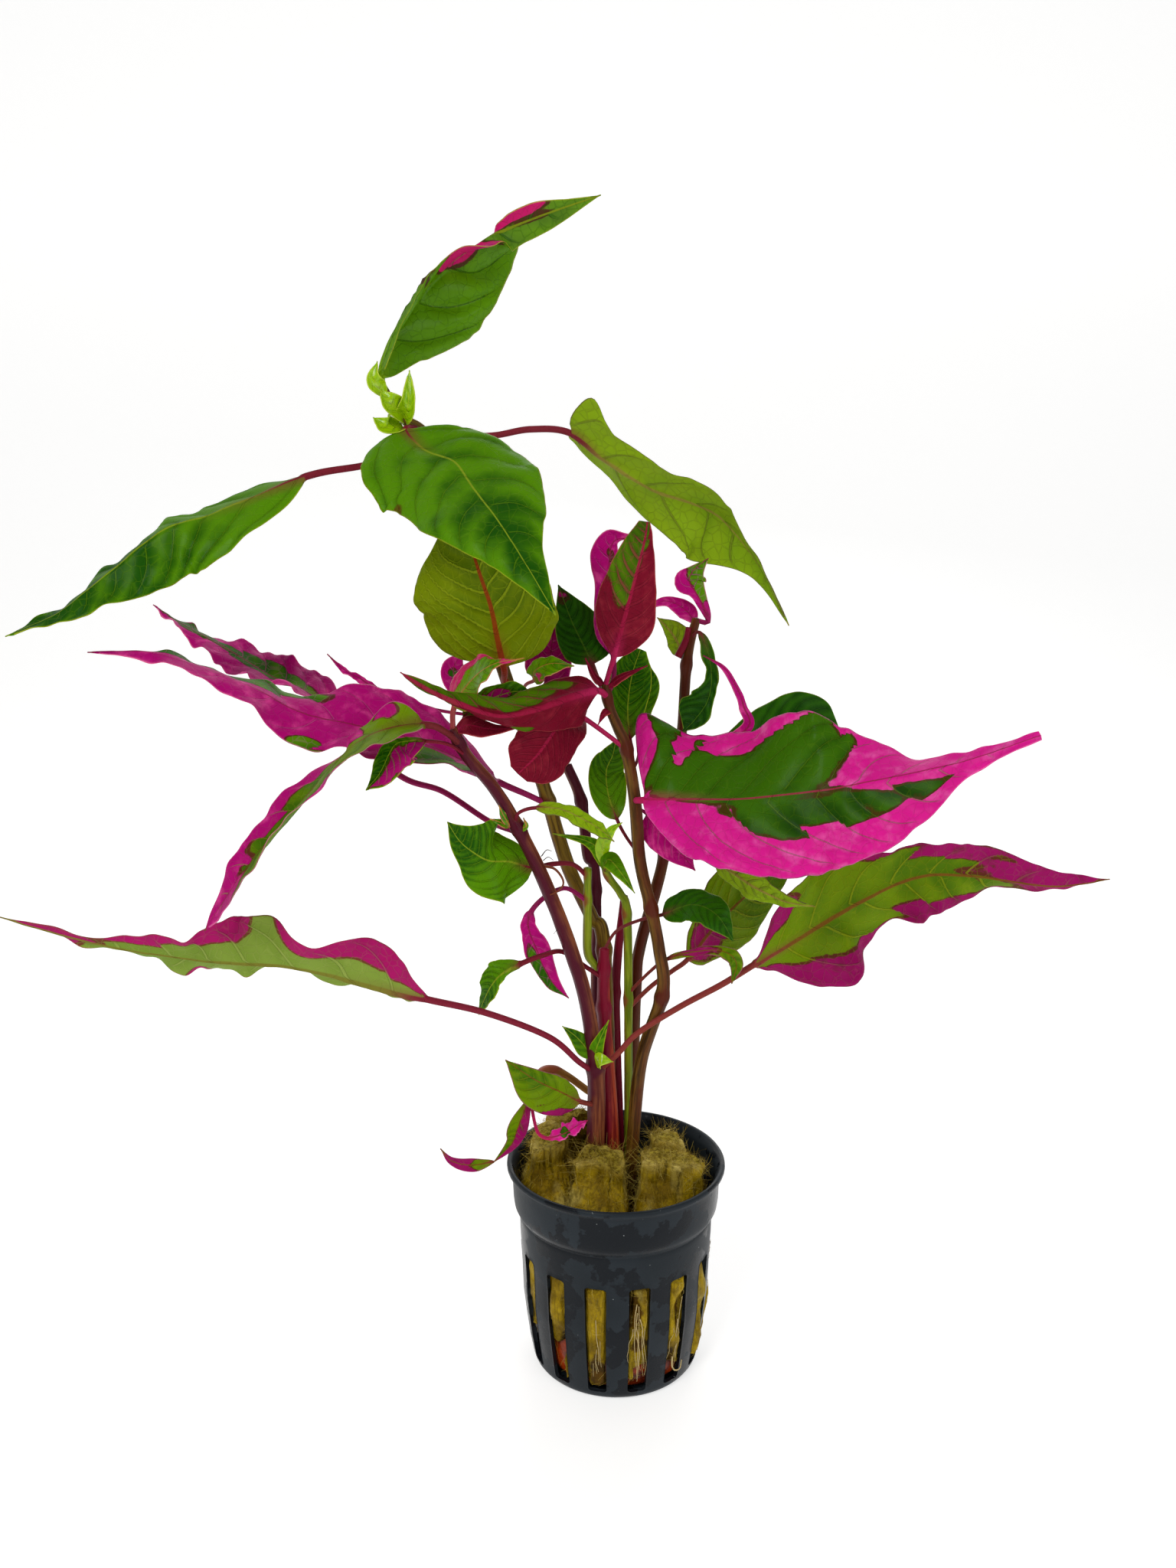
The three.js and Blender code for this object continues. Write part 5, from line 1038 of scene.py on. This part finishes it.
# Left, on the long arching stems
leaf("leaf_left_upper", "rose", "large",
     stalk=[[-30, -1, 137.5], [-41.5, 5, 143.5], [-52.5, 10, 146.5]], rib=[[-66, 14, 158],
     [-76.5, 18, 166], [-86, 22, 169.5], [-97, 26, 175.5], [-109, 30, 181.5], [-118, 34, 186.5]],
     left=[5.5, 9.5, 8.5, 6.5, 3, 0], right=[4.5, 9, 8.5, 6.5, 3.5, 0], face=[[0, -0.6, 0.8]],
     root=("stem_front", 137), rise=([70, 50, 35, 20, 30, 20], [-5, -20, -5, -25, -50, -50]),
     blush=0.9, patches=[(0.5, 0.1, 0.32, 0.3, 0.03), (0.85, 0.2, 0.15, 0.8, 0.35)], ruffle=(1.1, 5),
     quilt=0.05)
leaf("leaf_left_pink", "rose", "large",
     stalk=[[-21, 3, 143]], rib=[[-28, 1.5, 146.5], [-36, -2.5, 152], [-48, -7, 158], [-59, -8, 161],
     [-71, -9, 164], [-82, -10, 170], [-94, -11, 175], [-104, -12, 178], [-117, -12, 178]],
     left=[4, 9, 11, 10.5, 9, 6.5, 4.5, 2.5, 0], right=[4, 10, 13.5, 12, 9, 7, 5, 2.5, 0],
     face=[[0, 0.6, 0.7], [0, -0.6, 0.8], [0, -0.8, 0.5]], root=("stem_tall", 140),
     rise=([-40, -30, -15, 0, 0, 25, 35, 20, 0], [65, 60, 35, 20, -15, -45, -50, -50, -50]),
     blush=0.93, patches=[(0.62, 0.8, 0.17, 0.42, 0.03), (0.82, 0.8, 0.12, 0.4, 0.2),
     (0.46, -1, 0.04, 0.25, 0.1), (0.2, -0.6, 0.09, 0.35, 0.1)], ruffle=(0.9, 5), quilt=0.06)
leaf("leaf_left_hanging", "blush", "large",
     stalk=[[-38, -17, 161]], rib=[[-42, -20, 163], [-51, -24, 162], [-58, -27, 158], [-67, -29, 148],
     [-75, -30, 139], [-82, -29, 130], [-90, -27, 119]], left=[3, 8.5, 8.5, 7, 5.5, 5, 0],
     right=[2, 6, 6, 7, 7, 6.5, 6, 5.5, 5, 5, 4.5, 2.5, 0], face=[[-0.3, -0.6, 0.7]],
     root=("stem_front", 157.5), rise=([20, 25, 30, 40, 35, 20, 0],
     [40, 40, -5, -20, -40, -20, 0, 10, 20, 15, 15, 15, 10]),
     blush=0.08, patches=[(0.09, 0.75, 0.05, 0.35, 0.75), (0.28, 0.8, 0.07, 0.5, 0.9),
     (0.58, 1, 0.24, 0.6, 0.93), (0.4, -1.1, 0.06, 0.3, 0.7), (0.98, 0, 0.22, 1.6, 0.95)], ruffle=(0.6, 4))
leaf("leaf_left_needle", "rose", "small",
     stalk=[[-32, 9, 161], [-45, 9.5, 163]], rib=[[-57, 9, 167.5], [-61, 9, 170], [-65, 8, 172.5],
     [-68.5, 8, 176]], left=[1.2, 1, 0.7, 0], face=[[0, -0.7, 0.7]], root=("stem_tall", 161), blush=0.8)
leaf("leaf_left_small", "fresh", "small",
     stalk=[[-37.5, -17, 158.3]], rib=[[-42, -20, 159.5], [-45, -23, 159.8], [-47.5, -25, 159.5],
     [-49, -26, 157.5], [-51, -27, 153.5], [-54, -27, 150]], left=[1, 3.5, 6, 5.5, 3.5, 0],
     right=[0.8, 1, 1.5, 2.6, 2, 0], face=[[-0.2, -0.8, 0.4]], root=("stem_front", 155), rise=([0], [10]),
     blush=0.15, patches=[(0.5, -0.6, 0.5, 0.5, 0.9)])
# Right, from the big pink leaf down to the small ones behind
leaf("leaf_right_big", "hot", "large",
     rib=[[6, -8, 144], [16, -13, 145], [27, -17, 146], [43, -23, 149], [54, -27, 152], [71, -32, 157],
     [85, -36, 163]], left=[12, 22, 20, 19, 20, 19, 18, 15, 12.5, 7, 3.2, 2, 1.2],
     right=[4, 8, 13.5, 16, 17, 18.5, 18, 17, 14.5, 10.5, 3.6, 1.8, 1], face=[[0, -0.75, 0.65]],
     root=("stem_right", 143), rise=([15, 15, 0, -5, -10, 10, 15, 5, -15, -30, -30, -15, 0],
     [0, 0, 0, 0, -5, -15, -15, -15, -15, -15, 0, 0, 0]), blush=0.93, patches=[(0.27, -0.36, 0.28, 0.45,
     0.03), (0.52, -0.66, 0.09, 0.3, 0.3), (0.2, -1, 0.035, 0.25, 0.93), (0.17, -0.8, 0.032, 0.22, 0.93),
     (0.135, -0.6, 0.025, 0.2, 0.93), (0.15, -1, 0.02, 0.25, 0.05), (0.115, -0.78, 0.025, 0.2, 0.05),
     (0.085, -1, 0.04, 0.25, 0.95), (0.045, -0.75, 0.045, 0.35, 0.95), (0.21, -0.58, 0.03, 0.18, 0.1),
     (0.27, -0.9, 0.06, 0.22, 0.93), (0.32, -1.08, 0.2, 0.2, 0.93), (0.5, 0.3, 0.21, 0.26, 0.03),
     (0.52, 0.1, 0.12, 0.1, 0.48), (0.6, 0.34, 0.15, 0.2, 0.2), (0.7, 0.42, 0.09, 0.14, 0.44)],
     ruffle=(0.9, 5.5), veins=8, quilt=0.035, sweep=([-0.55, -0.35, -0.1, 0, 0, 0, 0], [0]))
leaf("leaf_right_low", "lime", "large",
     stalk=[[0, -7, 82], [5, -6, 87], [15, -4.5, 93], [25.5, 0, 97]], rib=[[33.5, 4, 100.5],
     [44.5, 9, 105.5], [60, 14, 113], [76, 18, 119], [91, 21, 118.5], [112.5, 24, 115], [129, 27, 116]],
     left=[3, 7.5, 13.5, 17, 13.5, 10.5, 12, 10, 8, 5.5, 2.5, 1, 0],
     right=[4.5, 14.5, 13.5, 9, 8.5, 4.5, 0], face=[[-0.2, 0.9, 0.2]], root=("stem_front", 77),
     rise=([20, 20, -25, -25, -5, 10, -20, -15, 10, 35, 50, 30, 0], [-20, -10, 10, -5, 5, 5, 0]),
     blush=0.06, patches=[(0.17, -1.05, 0.17, 0.55, 0.93), (0.36, -1, 0.06, 0.25, 0.9),
     (0.5, -1, 0.1, 0.45, 0.93), (0.6, -0.85, 0.1, 0.35, 0.9), (0.62, 0.98, 0.28, 0.25, 0.9),
     (0.1, 0.9, 0.12, 0.3, 0.8), (0.68, 0.25, 0.1, 0.35, 0.5), (0.87, 0, 0.17, 1.5, 0.93),
     (0.99, 0, 0.04, 1, 0.45)], ruffle=(1.2, 5))
leaf("leaf_right_round", "dark", "middle",
     stalk=[[17, 14.5, 138]], rib=[[20, 16, 141], [29.5, 22, 145.5], [42, 29, 152], [52, 36, 154.5],
     [61, 41, 150]], left=[4, 8, 10, 9, 0], right=[4, 10, 11.5, 9, 0], root=("stem_back", 136),
     blush=0.12, patches=[(0.8, 0.3, 0.15, 0.5, 0.45)])
leaf("leaf_right_strap", "rose", "middle",
     rib=[[17, 9, 149], [25.5, 8.5, 154], [31.5, 8, 159], [30, 7, 163.5], [28.5, 6, 167.5], [25, 5, 173],
     [20, 4, 176]], left=[1, 1.5, 1.5, 1.2, 1, 0.7, 0], right=[1, 1.2, 1.2, 0.9, 0.7, 0.5, 0],
     root=("stem_back", 147), blush=0.9)
leaf("leaf_right_narrow", "pale", "middle",
     stalk=[[16.5, 7, 130]], rib=[[22, 0, 129], [26.5, -4, 126.5], [32, -8, 123.5], [38, -10, 121],
     [45, -12, 120]], left=[2, 4, 4, 2, 0], face=[[0.1, 0.8, 0.4]], root=("stem_back", 129), blush=0.05)
leaf("leaf_right_back", "lime", "middle",
     stalk=[[8.5, 4, 95], [14, 7, 98]], rib=[[18, 10, 100], [24, 18, 104.5], [31.5, 26, 109.5],
     [40.5, 34, 114.5], [49.5, 40, 120]], left=[3, 8, 12, 8, 0], face=[[0, 0.9, 0.2]],
     root=("stem_green_right", 90), blush=0.15, patches=[(0.2, 0, 0.2, 0.8, 0.75)])
leaf("leaf_right_dark", "dark", "small",
     stalk=[[0, 0, 110.5], [6, 1, 113]], rib=[[11, 0, 114.5], [17.5, -4, 118], [23, -7, 116.5],
     [27, -8, 110.5]], left=[3, 4.4, 4, 0], right=[2, 4.6, 4.6, 0], face=[[0.2, -0.8, 0.5]],
     root=("stem_red", 107), rise=([-10, -10, 0, 0], [15, 15, 10, 0]), blush=0.03)
leaf("leaf_right_curl", "lime", "small",
     stalk=[[8, 0.5, 100]], rib=[[12, -0.5, 103.5], [18, -3, 106], [24.5, -5, 107], [28, -6, 104.5],
     [27, -7, 99.7]], left=[0.8, 1, 1.5, 1.8, 0], face=[[0, -0.7, 0.6]], root=("stem_green_right", 94),
     blush=0.3, patches=[(0.3, 0, 0.2, 1, 0.7)])
leaf("leaf_behind_right", "fresh", "small",
     stalk=[[2, 1.5, 133.5]], rib=[[0, 4, 137], [-2, 6, 142.5], [-2.5, 7.5, 148], [-1, 7, 152],
     [-0.2, 6, 156]], left=[2, 4, 4.2, 3, 0], right=[2, 4.5, 4.5, 3, 0], face=[[0, -0.9, 0.1]],
     root=("stem_right", 130))
leaf("leaf_under_big", "rose", "small",
     stalk=[[5.5, 0, 140]], rib=[[7, 0.5, 139], [10, 0, 136], [14, -0.5, 131], [18.5, -0.5, 125.5]],
     left=[3, 5, 4, 0], face=[[0, -0.8, 0.4]], root=("stem_right", 140), blush=0.85)
# Lower left
leaf("leaf_low_left", "grey", "large",
     stalk=[[-9, -8, 80.5], [-16, -11, 88], [-30, -14, 95]], rib=[[-43, -16, 99], [-54, -17, 102],
     [-71, -20, 108], [-86, -22, 110], [-97, -24, 112], [-113, -27, 116], [-133, -30, 123]],
     left=[2, 6, 9.5, 11, 8, 11.5, 11, 9, 7, 4.5, 2, 1, 0], right=[1.5, 3, 3.5, 3.5, 4.5, 6, 3, 1.5, 0],
     face=[[0, 0.7, 0.6]], root=("stem_front", 77), rise=([25, 25, 40, 35, 5, 35, 40, 20, 10, 15, 25, 25,
     0], [15, 15, 20, 10, 0, 15, 10]), blush=0.08, patches=[(0.17, -0.88, 0.17, 0.45, 0.93),
     (0.33, -0.98, 0.06, 0.5, 0.93), (0.54, -0.92, 0.1, 0.38, 0.93), (0.72, -1, 0.12, 0.5, 0.9),
     (0.6, 1, 0.05, 0.4, 0.85), (0.96, 0, 0.13, 1.6, 0.85)], ruffle=(1.2, 5.2))
leaf("leaf_left_ovate", "fresh", "middle",
     stalk=[[-10.5, -0.5, 127], [-15, -2, 127.5]], rib=[[-20, -3.5, 127], [-25, -6, 129], [-29.5, -9, 130],
     [-33, -11, 132.5], [-36, -12, 135.5], [-38.5, -13, 140]], left=[4, 9.5, 8.5, 5, 2.5, 0],
     right=[3, 5.5, 8.5, 9, 6, 0], face=[[-0.1, -0.9, 0.3]], root=("stem_green_left", 124.5),
     rise=([0, 0, 0, 0], [-10, -10, 0, 0]), blush=0.05, ruffle=(0.6, 3), shade=-0.15)
leaf("leaf_left_curled", "fresh", "middle",
     stalk=[[-7.5, -1.5, 102], [-13, -3.2, 106.3], [-17.5, -8, 107]], rib=[[-22, -12, 106.5],
     [-26, -14, 105], [-28.5, -14, 102.5], [-30.5, -12.5, 98.5], [-32.5, -9.5, 93]], left=[1, 1, 2, 2, 0],
     right=[1, 3.8, 4, 2.5, 0], face=[[-0.2, -0.7, 0.6]], root=("stem_red", 98.5), blush=0.08)
leaf("leaf_red_hanging", "rose", "middle",
     stalk=[[-11.5, -0.5, 121], [-14.5, -2, 121], [-17.5, -3.5, 119.5]], rib=[[-20, -4.5, 117],
     [-21, -4.5, 114], [-20.5, -4.5, 111], [-19, -4, 107], [-17.5, -4, 103], [-15, -4, 98.5],
     [-11.5, -4, 95]], left=[1, 1.8, 2.4, 3.3, 2.8, 1.8, 0], face=[[-0.2, -0.9, 0.2]],
     root=("stem_green_left", 118), rise=([-5], [-10]), blush=0.85, patches=[(0.75, 0.5, 0.3, 0.5, 0.1)])
# At the pot, and the last small ones
leaf("leaf_low_green", "lime", "middle",
     rib=[[-9, -9, 71], [-13, -13, 75], [-19, -15, 79], [-26, -15, 84]], left=[2, 5.5, 6, 0],
     right=[1.5, 3.2, 2.6, 0], face=[[0, -0.8, 0.5]], root=("stem_front", 68),
     blush=0.06, patches=[(0.3, -1.05, 0.26, 0.4, 0.9)], shade=-0.1, veins=5)
leaf("leaf_on_wool", "hot", "small",
     stalk=[[-19.2, -17, 69], [-18.2, -18, 67]], rib=[[-16, -18, 66], [-12.5, -18, 67], [-9.5, -17, 68.5],
     [-7, -15, 69]], left=[1.2, 2.4, 2, 0], right=[0.8, 1.2, 1.4, 0], face=[[0, -0.5, 0.8]],
     root=("shoot_low", 90), blush=0.9, patches=[(0.35, 0, 0.09, 0.9, 0.1)], ruffle=(0.9, 3.5))
leaf("leaf_pale_a", "pale", "small",
     stalk=[[-22.5, -12.5, 142]], rib=[[-18.5, -14, 143.5], [-12, -15, 143], [-5, -14.5, 139],
     [-1, -13, 135.5]], left=[1.5, 2, 2, 0], face=[[0, -0.6, 0.7]], root=("stem_front", 139), blush=0.05)
leaf("leaf_behind_boat", "fresh", "small",
     rib=[[-34.5, -10.5, 163.5], [-31, -10.5, 166], [-27, -10, 168], [-23, -9.5, 169], [-19, -9, 168.3]],
     left=[1.5, 3, 3, 2.5, 0], face=[[0, -0.8, 0.5]], root=("stem_front", 158),
     patches=[(0.5, 0, 0.2, 0.6, 0.85)])


# Buds, scales and young leaves. Small closed blades that sit in the axils of the stems and at
# their tips. Each stands for a part of the stem that it grows on.
def bract(name, look, rib, width, blush=0.1, patches=(), curl=LEVEL):
    """A small leaf with no stalk, widest in the middle. The stem's name comes before its own."""
    node = name.rsplit("_", 2)[0]
    leaf(name, look, "tiny", rib=rib, left=[0.6 * width, width, 0.6 * width, 0],
         face=[[0, -0.8, 0.6]], blunt=0.3, blush=blush, patches=patches, ruffle=(0.1, 2),
         curl=curl, replaces=[node])


bract("stem_tall_bud_right", "bud", [[-47.6, 1, 227.2], [-46.4, -1.8, 232], [-46.2, -0.5, 239]], 2.6,
      curl=([70], [60]))
bract("stem_tall_bud_middle", "bud", [[-47.8, 0.8, 228], [-50.2, -3, 231.8], [-52.4, -2.2, 234.4]], 3.3,
      curl=([60], [50]))
bract("stem_tall_bud_low", "bud", [[-48, 0.5, 227], [-51, -3, 226.6], [-54.2, -2.2, 228.8]], 3.6,
      curl=([60], [60]))
bract("stem_tall_bud_upper", "bud", [[-51.8, 1, 233.5], [-54, -0.5, 237], [-53.4, 0.5, 241]], 2.2,
      curl=([40], [50]))
bract("stem_front_scale_one", "sprout", [[-24.5, -9.2, 138], [-27, -11, 139.5], [-29, -12, 140.5]], 1.0,
      blush=0.4)
bract("stem_front_scale_two", "sprout", [[-24.5, -9.5, 138], [-26, -11, 141], [-27, -11.5, 143.5]], 1.0,
      blush=0.2)
bract("stem_front_scale_three", "sprout", [[-22.6, -9, 137], [-21, -10.5, 138.5], [-21.5, -11, 140.5]],
      0.8, blush=0.3)
bract("stem_front_young_leaf", "crimson", [[-36.5, -12.8, 160.5], [-33.5, -13.5, 162], [-30, -13, 161.2],
                                           [-26.5, -13, 161], [-22, -13.5, 161.5]], 2.6, blush=0.9)
bract("stem_front_node_left", "fresh", [[-5.5, -5.2, 80], [-9, -5.5, 85], [-13, -5.5, 88.5]], 2.4)
bract("stem_front_node_front", "bud", [[-5, -6, 79], [-4, -9, 81.5], [-1, -9, 81]], 2.0)
bract("stem_front_node_right", "fresh", [[-5.5, -5, 80], [-4.5, -8, 85], [-2, -8, 91]], 1.8)
bract("stem_right_tip_left", "crimson", [[-3, -3, 169.5], [-5.5, -3.5, 172], [-7.5, -4, 176]], 1.0, blush=0.9)
bract("stem_right_tip_right", "crimson", [[-2.8, -3, 169], [1, -5, 172], [6.5, -5.5, 174.5]], 1.1, blush=0.9)
bract("stem_right_tip_low", "crimson", [[-1.6, -3, 164], [-3.2, -4.8, 163.5], [-4.6, -5.2, 161]], 1.0,
      blush=0.9)
bract("stem_back_top_leaf", "rose", [[18.8, 13.2, 183], [16.5, 15.5, 186], [12, 16, 188], [6, 14, 186]], 2.6,
      blush=0.9)
bract("stem_green_right_leaf_left", "fresh",
      [[-3, 0, 125.5], [-4.5, -2, 131], [-8, -3, 133.5], [-15, -5, 135.5]], 1.9)
bract("stem_green_right_leaf_front", "fresh",
      [[-3, 0, 125], [-2, -4, 129], [1, -6, 126], [4, -6, 121.5]], 2.3)
bract("stem_green_right_leaf_top", "bud",
      [[-3, 0, 126], [-3.5, -3, 132], [-1.5, -4, 136], [1, -4.5, 138]], 1.8)
bract("shoot_low_leaf_near", "lime",
      [[-20.7, -12.4, 73.2], [-23.3, -17.6, 68], [-24.5, -21, 66], [-28.5, -25, 63.5]], 2.3, blush=0.85,
      patches=[(0.5, 0.6, 0.5, 0.6, 0.05)])
bract("shoot_low_leaf_far", "lime", [[-28.2, -24.6, 63.7], [-33, -27, 64], [-37.5, -27, 65], [-40, -27, 68]],
      1.5, blush=0.85, patches=[(0.15, 0, 0.2, 1.0, 0.1)])


# Roots, hairs and stubs. Pale young roots hang behind the slots and one hooks out of the wool.
# A cut leaf stalk is left on the stem at the back, and a thin loop stalk on the front stem.
ROOT_SKIN = stem_finish("root_skin", (206, 190, 140), (150, 120, 66), (120, 70, 30), rough=0.32)
DARK_HAIR = stem_finish("dark_hair", (48, 26, 14), (30, 14, 8), (40, 18, 12), rough=0.42)
ROOTS_IN_SLOTS = ((0, 9), (13, 5), (1, 4))
THREAD_POINTS = 24
STUB_RADIUS = 0.8


def threads(name, paths, radius, finish, sides=6):
    """Thin round threads, each a smooth curve through its points that thins to the end."""
    t = np.linspace(0, 1, THREAD_POINTS)
    curves = np.stack([spline(path, t) for path in paths])
    size = np.array(radius)[:, None] * (1 - 0.55 * t)
    points, faces = strands(curves, size, sides)
    make_piece(name, points, faces, finish)


def slot_roots():
    """Roots that wander down just inside the middle slots and stay within the pot's side."""
    rng = np.random.default_rng(8)
    slots = np.repeat(*np.transpose(ROOTS_IN_SLOTS))
    paths = []
    for slot_number in slots:
        z = np.linspace(rng.uniform(17, 27), rng.uniform(5, 11), 6)
        drift = np.cumsum(rng.normal(0, 0.014, 6)) + rng.uniform(-0.06, 0.06)
        paths.append(turned(side_radius(z) + rng.uniform(-0.3, 0.5), slot_angle(slot_number) + drift, z))
    threads("wool_roots", paths, rng.uniform(0.07, 0.13, len(paths)), ROOT_SKIN)


slot_roots()
threads("wool_hooked_root", [[[13.4, -17.4, 9.2], [13.3, -18.4, 7.4], [14, -18.6, 6.4], [15.2, -18, 6.5],
                              [15.6, -17.8, 8.6]]], [0.24], ROOT_SKIN, sides=8)
threads("wool_dark_hair", [[[4.8, -1.8, 54], [5.2, -4.6, 57], [5.6, -4, 58.6], [4.9, -3.4, 60.4]],
                           [[-6, -9, 56], [-6.6, -11, 59], [-5.8, -12, 60.5], [-5, -12, 59]]],
        [0.1, 0.07], DARK_HAIR)
threads("stem_front_hairs", [[[-17.6, -8.6, 131], [-16.4, -9.2, 132.6], [-15.2, -9.4, 132.4]],
                             [[-17.2, -8.6, 130], [-16, -9.4, 131], [-14.8, -9.4, 130.2]],
                             [[-12.6, -7, 112], [-14, -7.6, 113], [-15, -7.6, 112]]],
        [0.14, 0.12, 0.1], DARK_HAIR)
threads("stem_front_loop", [[[-17, -8.4, 128.6], [-14.6, -10, 128.4], [-12.9, -10.8, 126.6],
                             [-12.6, -10.8, 124.8], [-14, -10, 123], [-16, -9, 121.8]]],
        [0.34], STEM_FINISHES["purple"], sides=10)


def make_stub():
    """The stub of a cut leaf stalk: it leans down from its node and ends square."""
    t = np.linspace(0, 1, 12)
    curve = spline([[17.3, 12.8, 182], [16.6, 12.4, 179], [14.6, 12, 175]], t)[None]
    points, faces = strands(curve, STUB_RADIUS + 0.1 * t[None], 16)
    stub = make_piece("stem_back_stub", points, faces, STEM_FINISHES["crimson"], ["stem_back"])
    store(stub, "along", points * MM)
    store(stub, "flush", np.full(len(points), 0.8))


make_stub()


# Floor and light. A plain pale floor that curves up behind, a large soft light from the upper
# left, a weaker one from the right and one from behind that glows through the leaf edges.
FLOOR_FRONT, FLOOR_BEND, FLOOR_CURVE = -1.5, 0.45, 0.5
FLOOR_HALF_WIDTH, FLOOR_TOP, FLOOR_DROP = 2, 2.2, 0.0002
AIM = (0, 0, 0.13)


def make_floor():
    """A sheet swept from front to back: flat, then a quarter circle, then straight up."""
    turn = np.linspace(0, np.pi / 2, 17)[1:]
    run = np.concatenate([[FLOOR_FRONT, FLOOR_BEND], FLOOR_BEND + FLOOR_CURVE * np.sin(turn),
                          [FLOOR_BEND + FLOOR_CURVE]])
    rise = np.concatenate([[0, 0], FLOOR_CURVE * (1 - np.cos(turn)), [FLOOR_TOP]]) - FLOOR_DROP
    rows = [np.stack([np.full(len(run), x), run, rise], 1) for x in (-FLOOR_HALF_WIDTH, FLOOR_HALF_WIDTH)]
    k = np.arange(len(run) - 1)
    faces = np.stack([k, len(run) + k, len(run) + k + 1, k + 1], 1).tolist()
    mesh = bpy.data.meshes.new("floor")
    mesh.from_pydata(np.concatenate(rows).tolist(), [], faces)
    mesh.polygons.foreach_set("use_smooth", np.ones(len(faces), bool))
    material, tree, shader = new_material("floor_paper")
    set_inputs(shader, {"Base Color": colour(200, 200, 199), "Roughness": 0.8,
                        "Emission Color": (1, 1, 1, 1), "Emission Strength": 0.62})
    mesh.materials.append(material)
    floor = bpy.data.objects.new("floor", mesh)
    bpy.context.collection.objects.link(floor)


def make_light(name, place, aim, size, power, tint=(1, 1, 1)):
    """A square area light aimed at a point. All places are in metres."""
    lamp = bpy.data.lights.new(name, "AREA")
    lamp.size = size
    lamp.energy = power
    lamp.color = tint
    light = bpy.data.objects.new(name, lamp)
    light.location = place
    way = unit(np.array(aim, float) - place)
    light.rotation_euler = (np.arccos(-way[2]), 0, np.arctan2(way[1], way[0]) - np.pi / 2)
    bpy.context.collection.objects.link(light)


make_floor()
make_light("key_light", (-0.32, -0.58, 0.68), AIM, 0.3, 3.0, (1, 0.985, 0.95))
make_light("fill_light", (0.5, -0.55, 0.35), AIM, 0.4, 1.3)
make_light("back_light", (0.1, 0.6, 0.6), (0, 0, 0.15), 0.5, 1.2)
world = bpy.data.worlds.new("studio")
world.use_nodes = True
seen = add_node(world.node_tree, "ShaderNodeLightPath", "Is Camera Ray", {})
set_inputs(world.node_tree.nodes["Background"], {"Color": (1, 1, 1, 1), "Strength": seen * 0.65 + 0.3})
bpy.context.scene.world = world
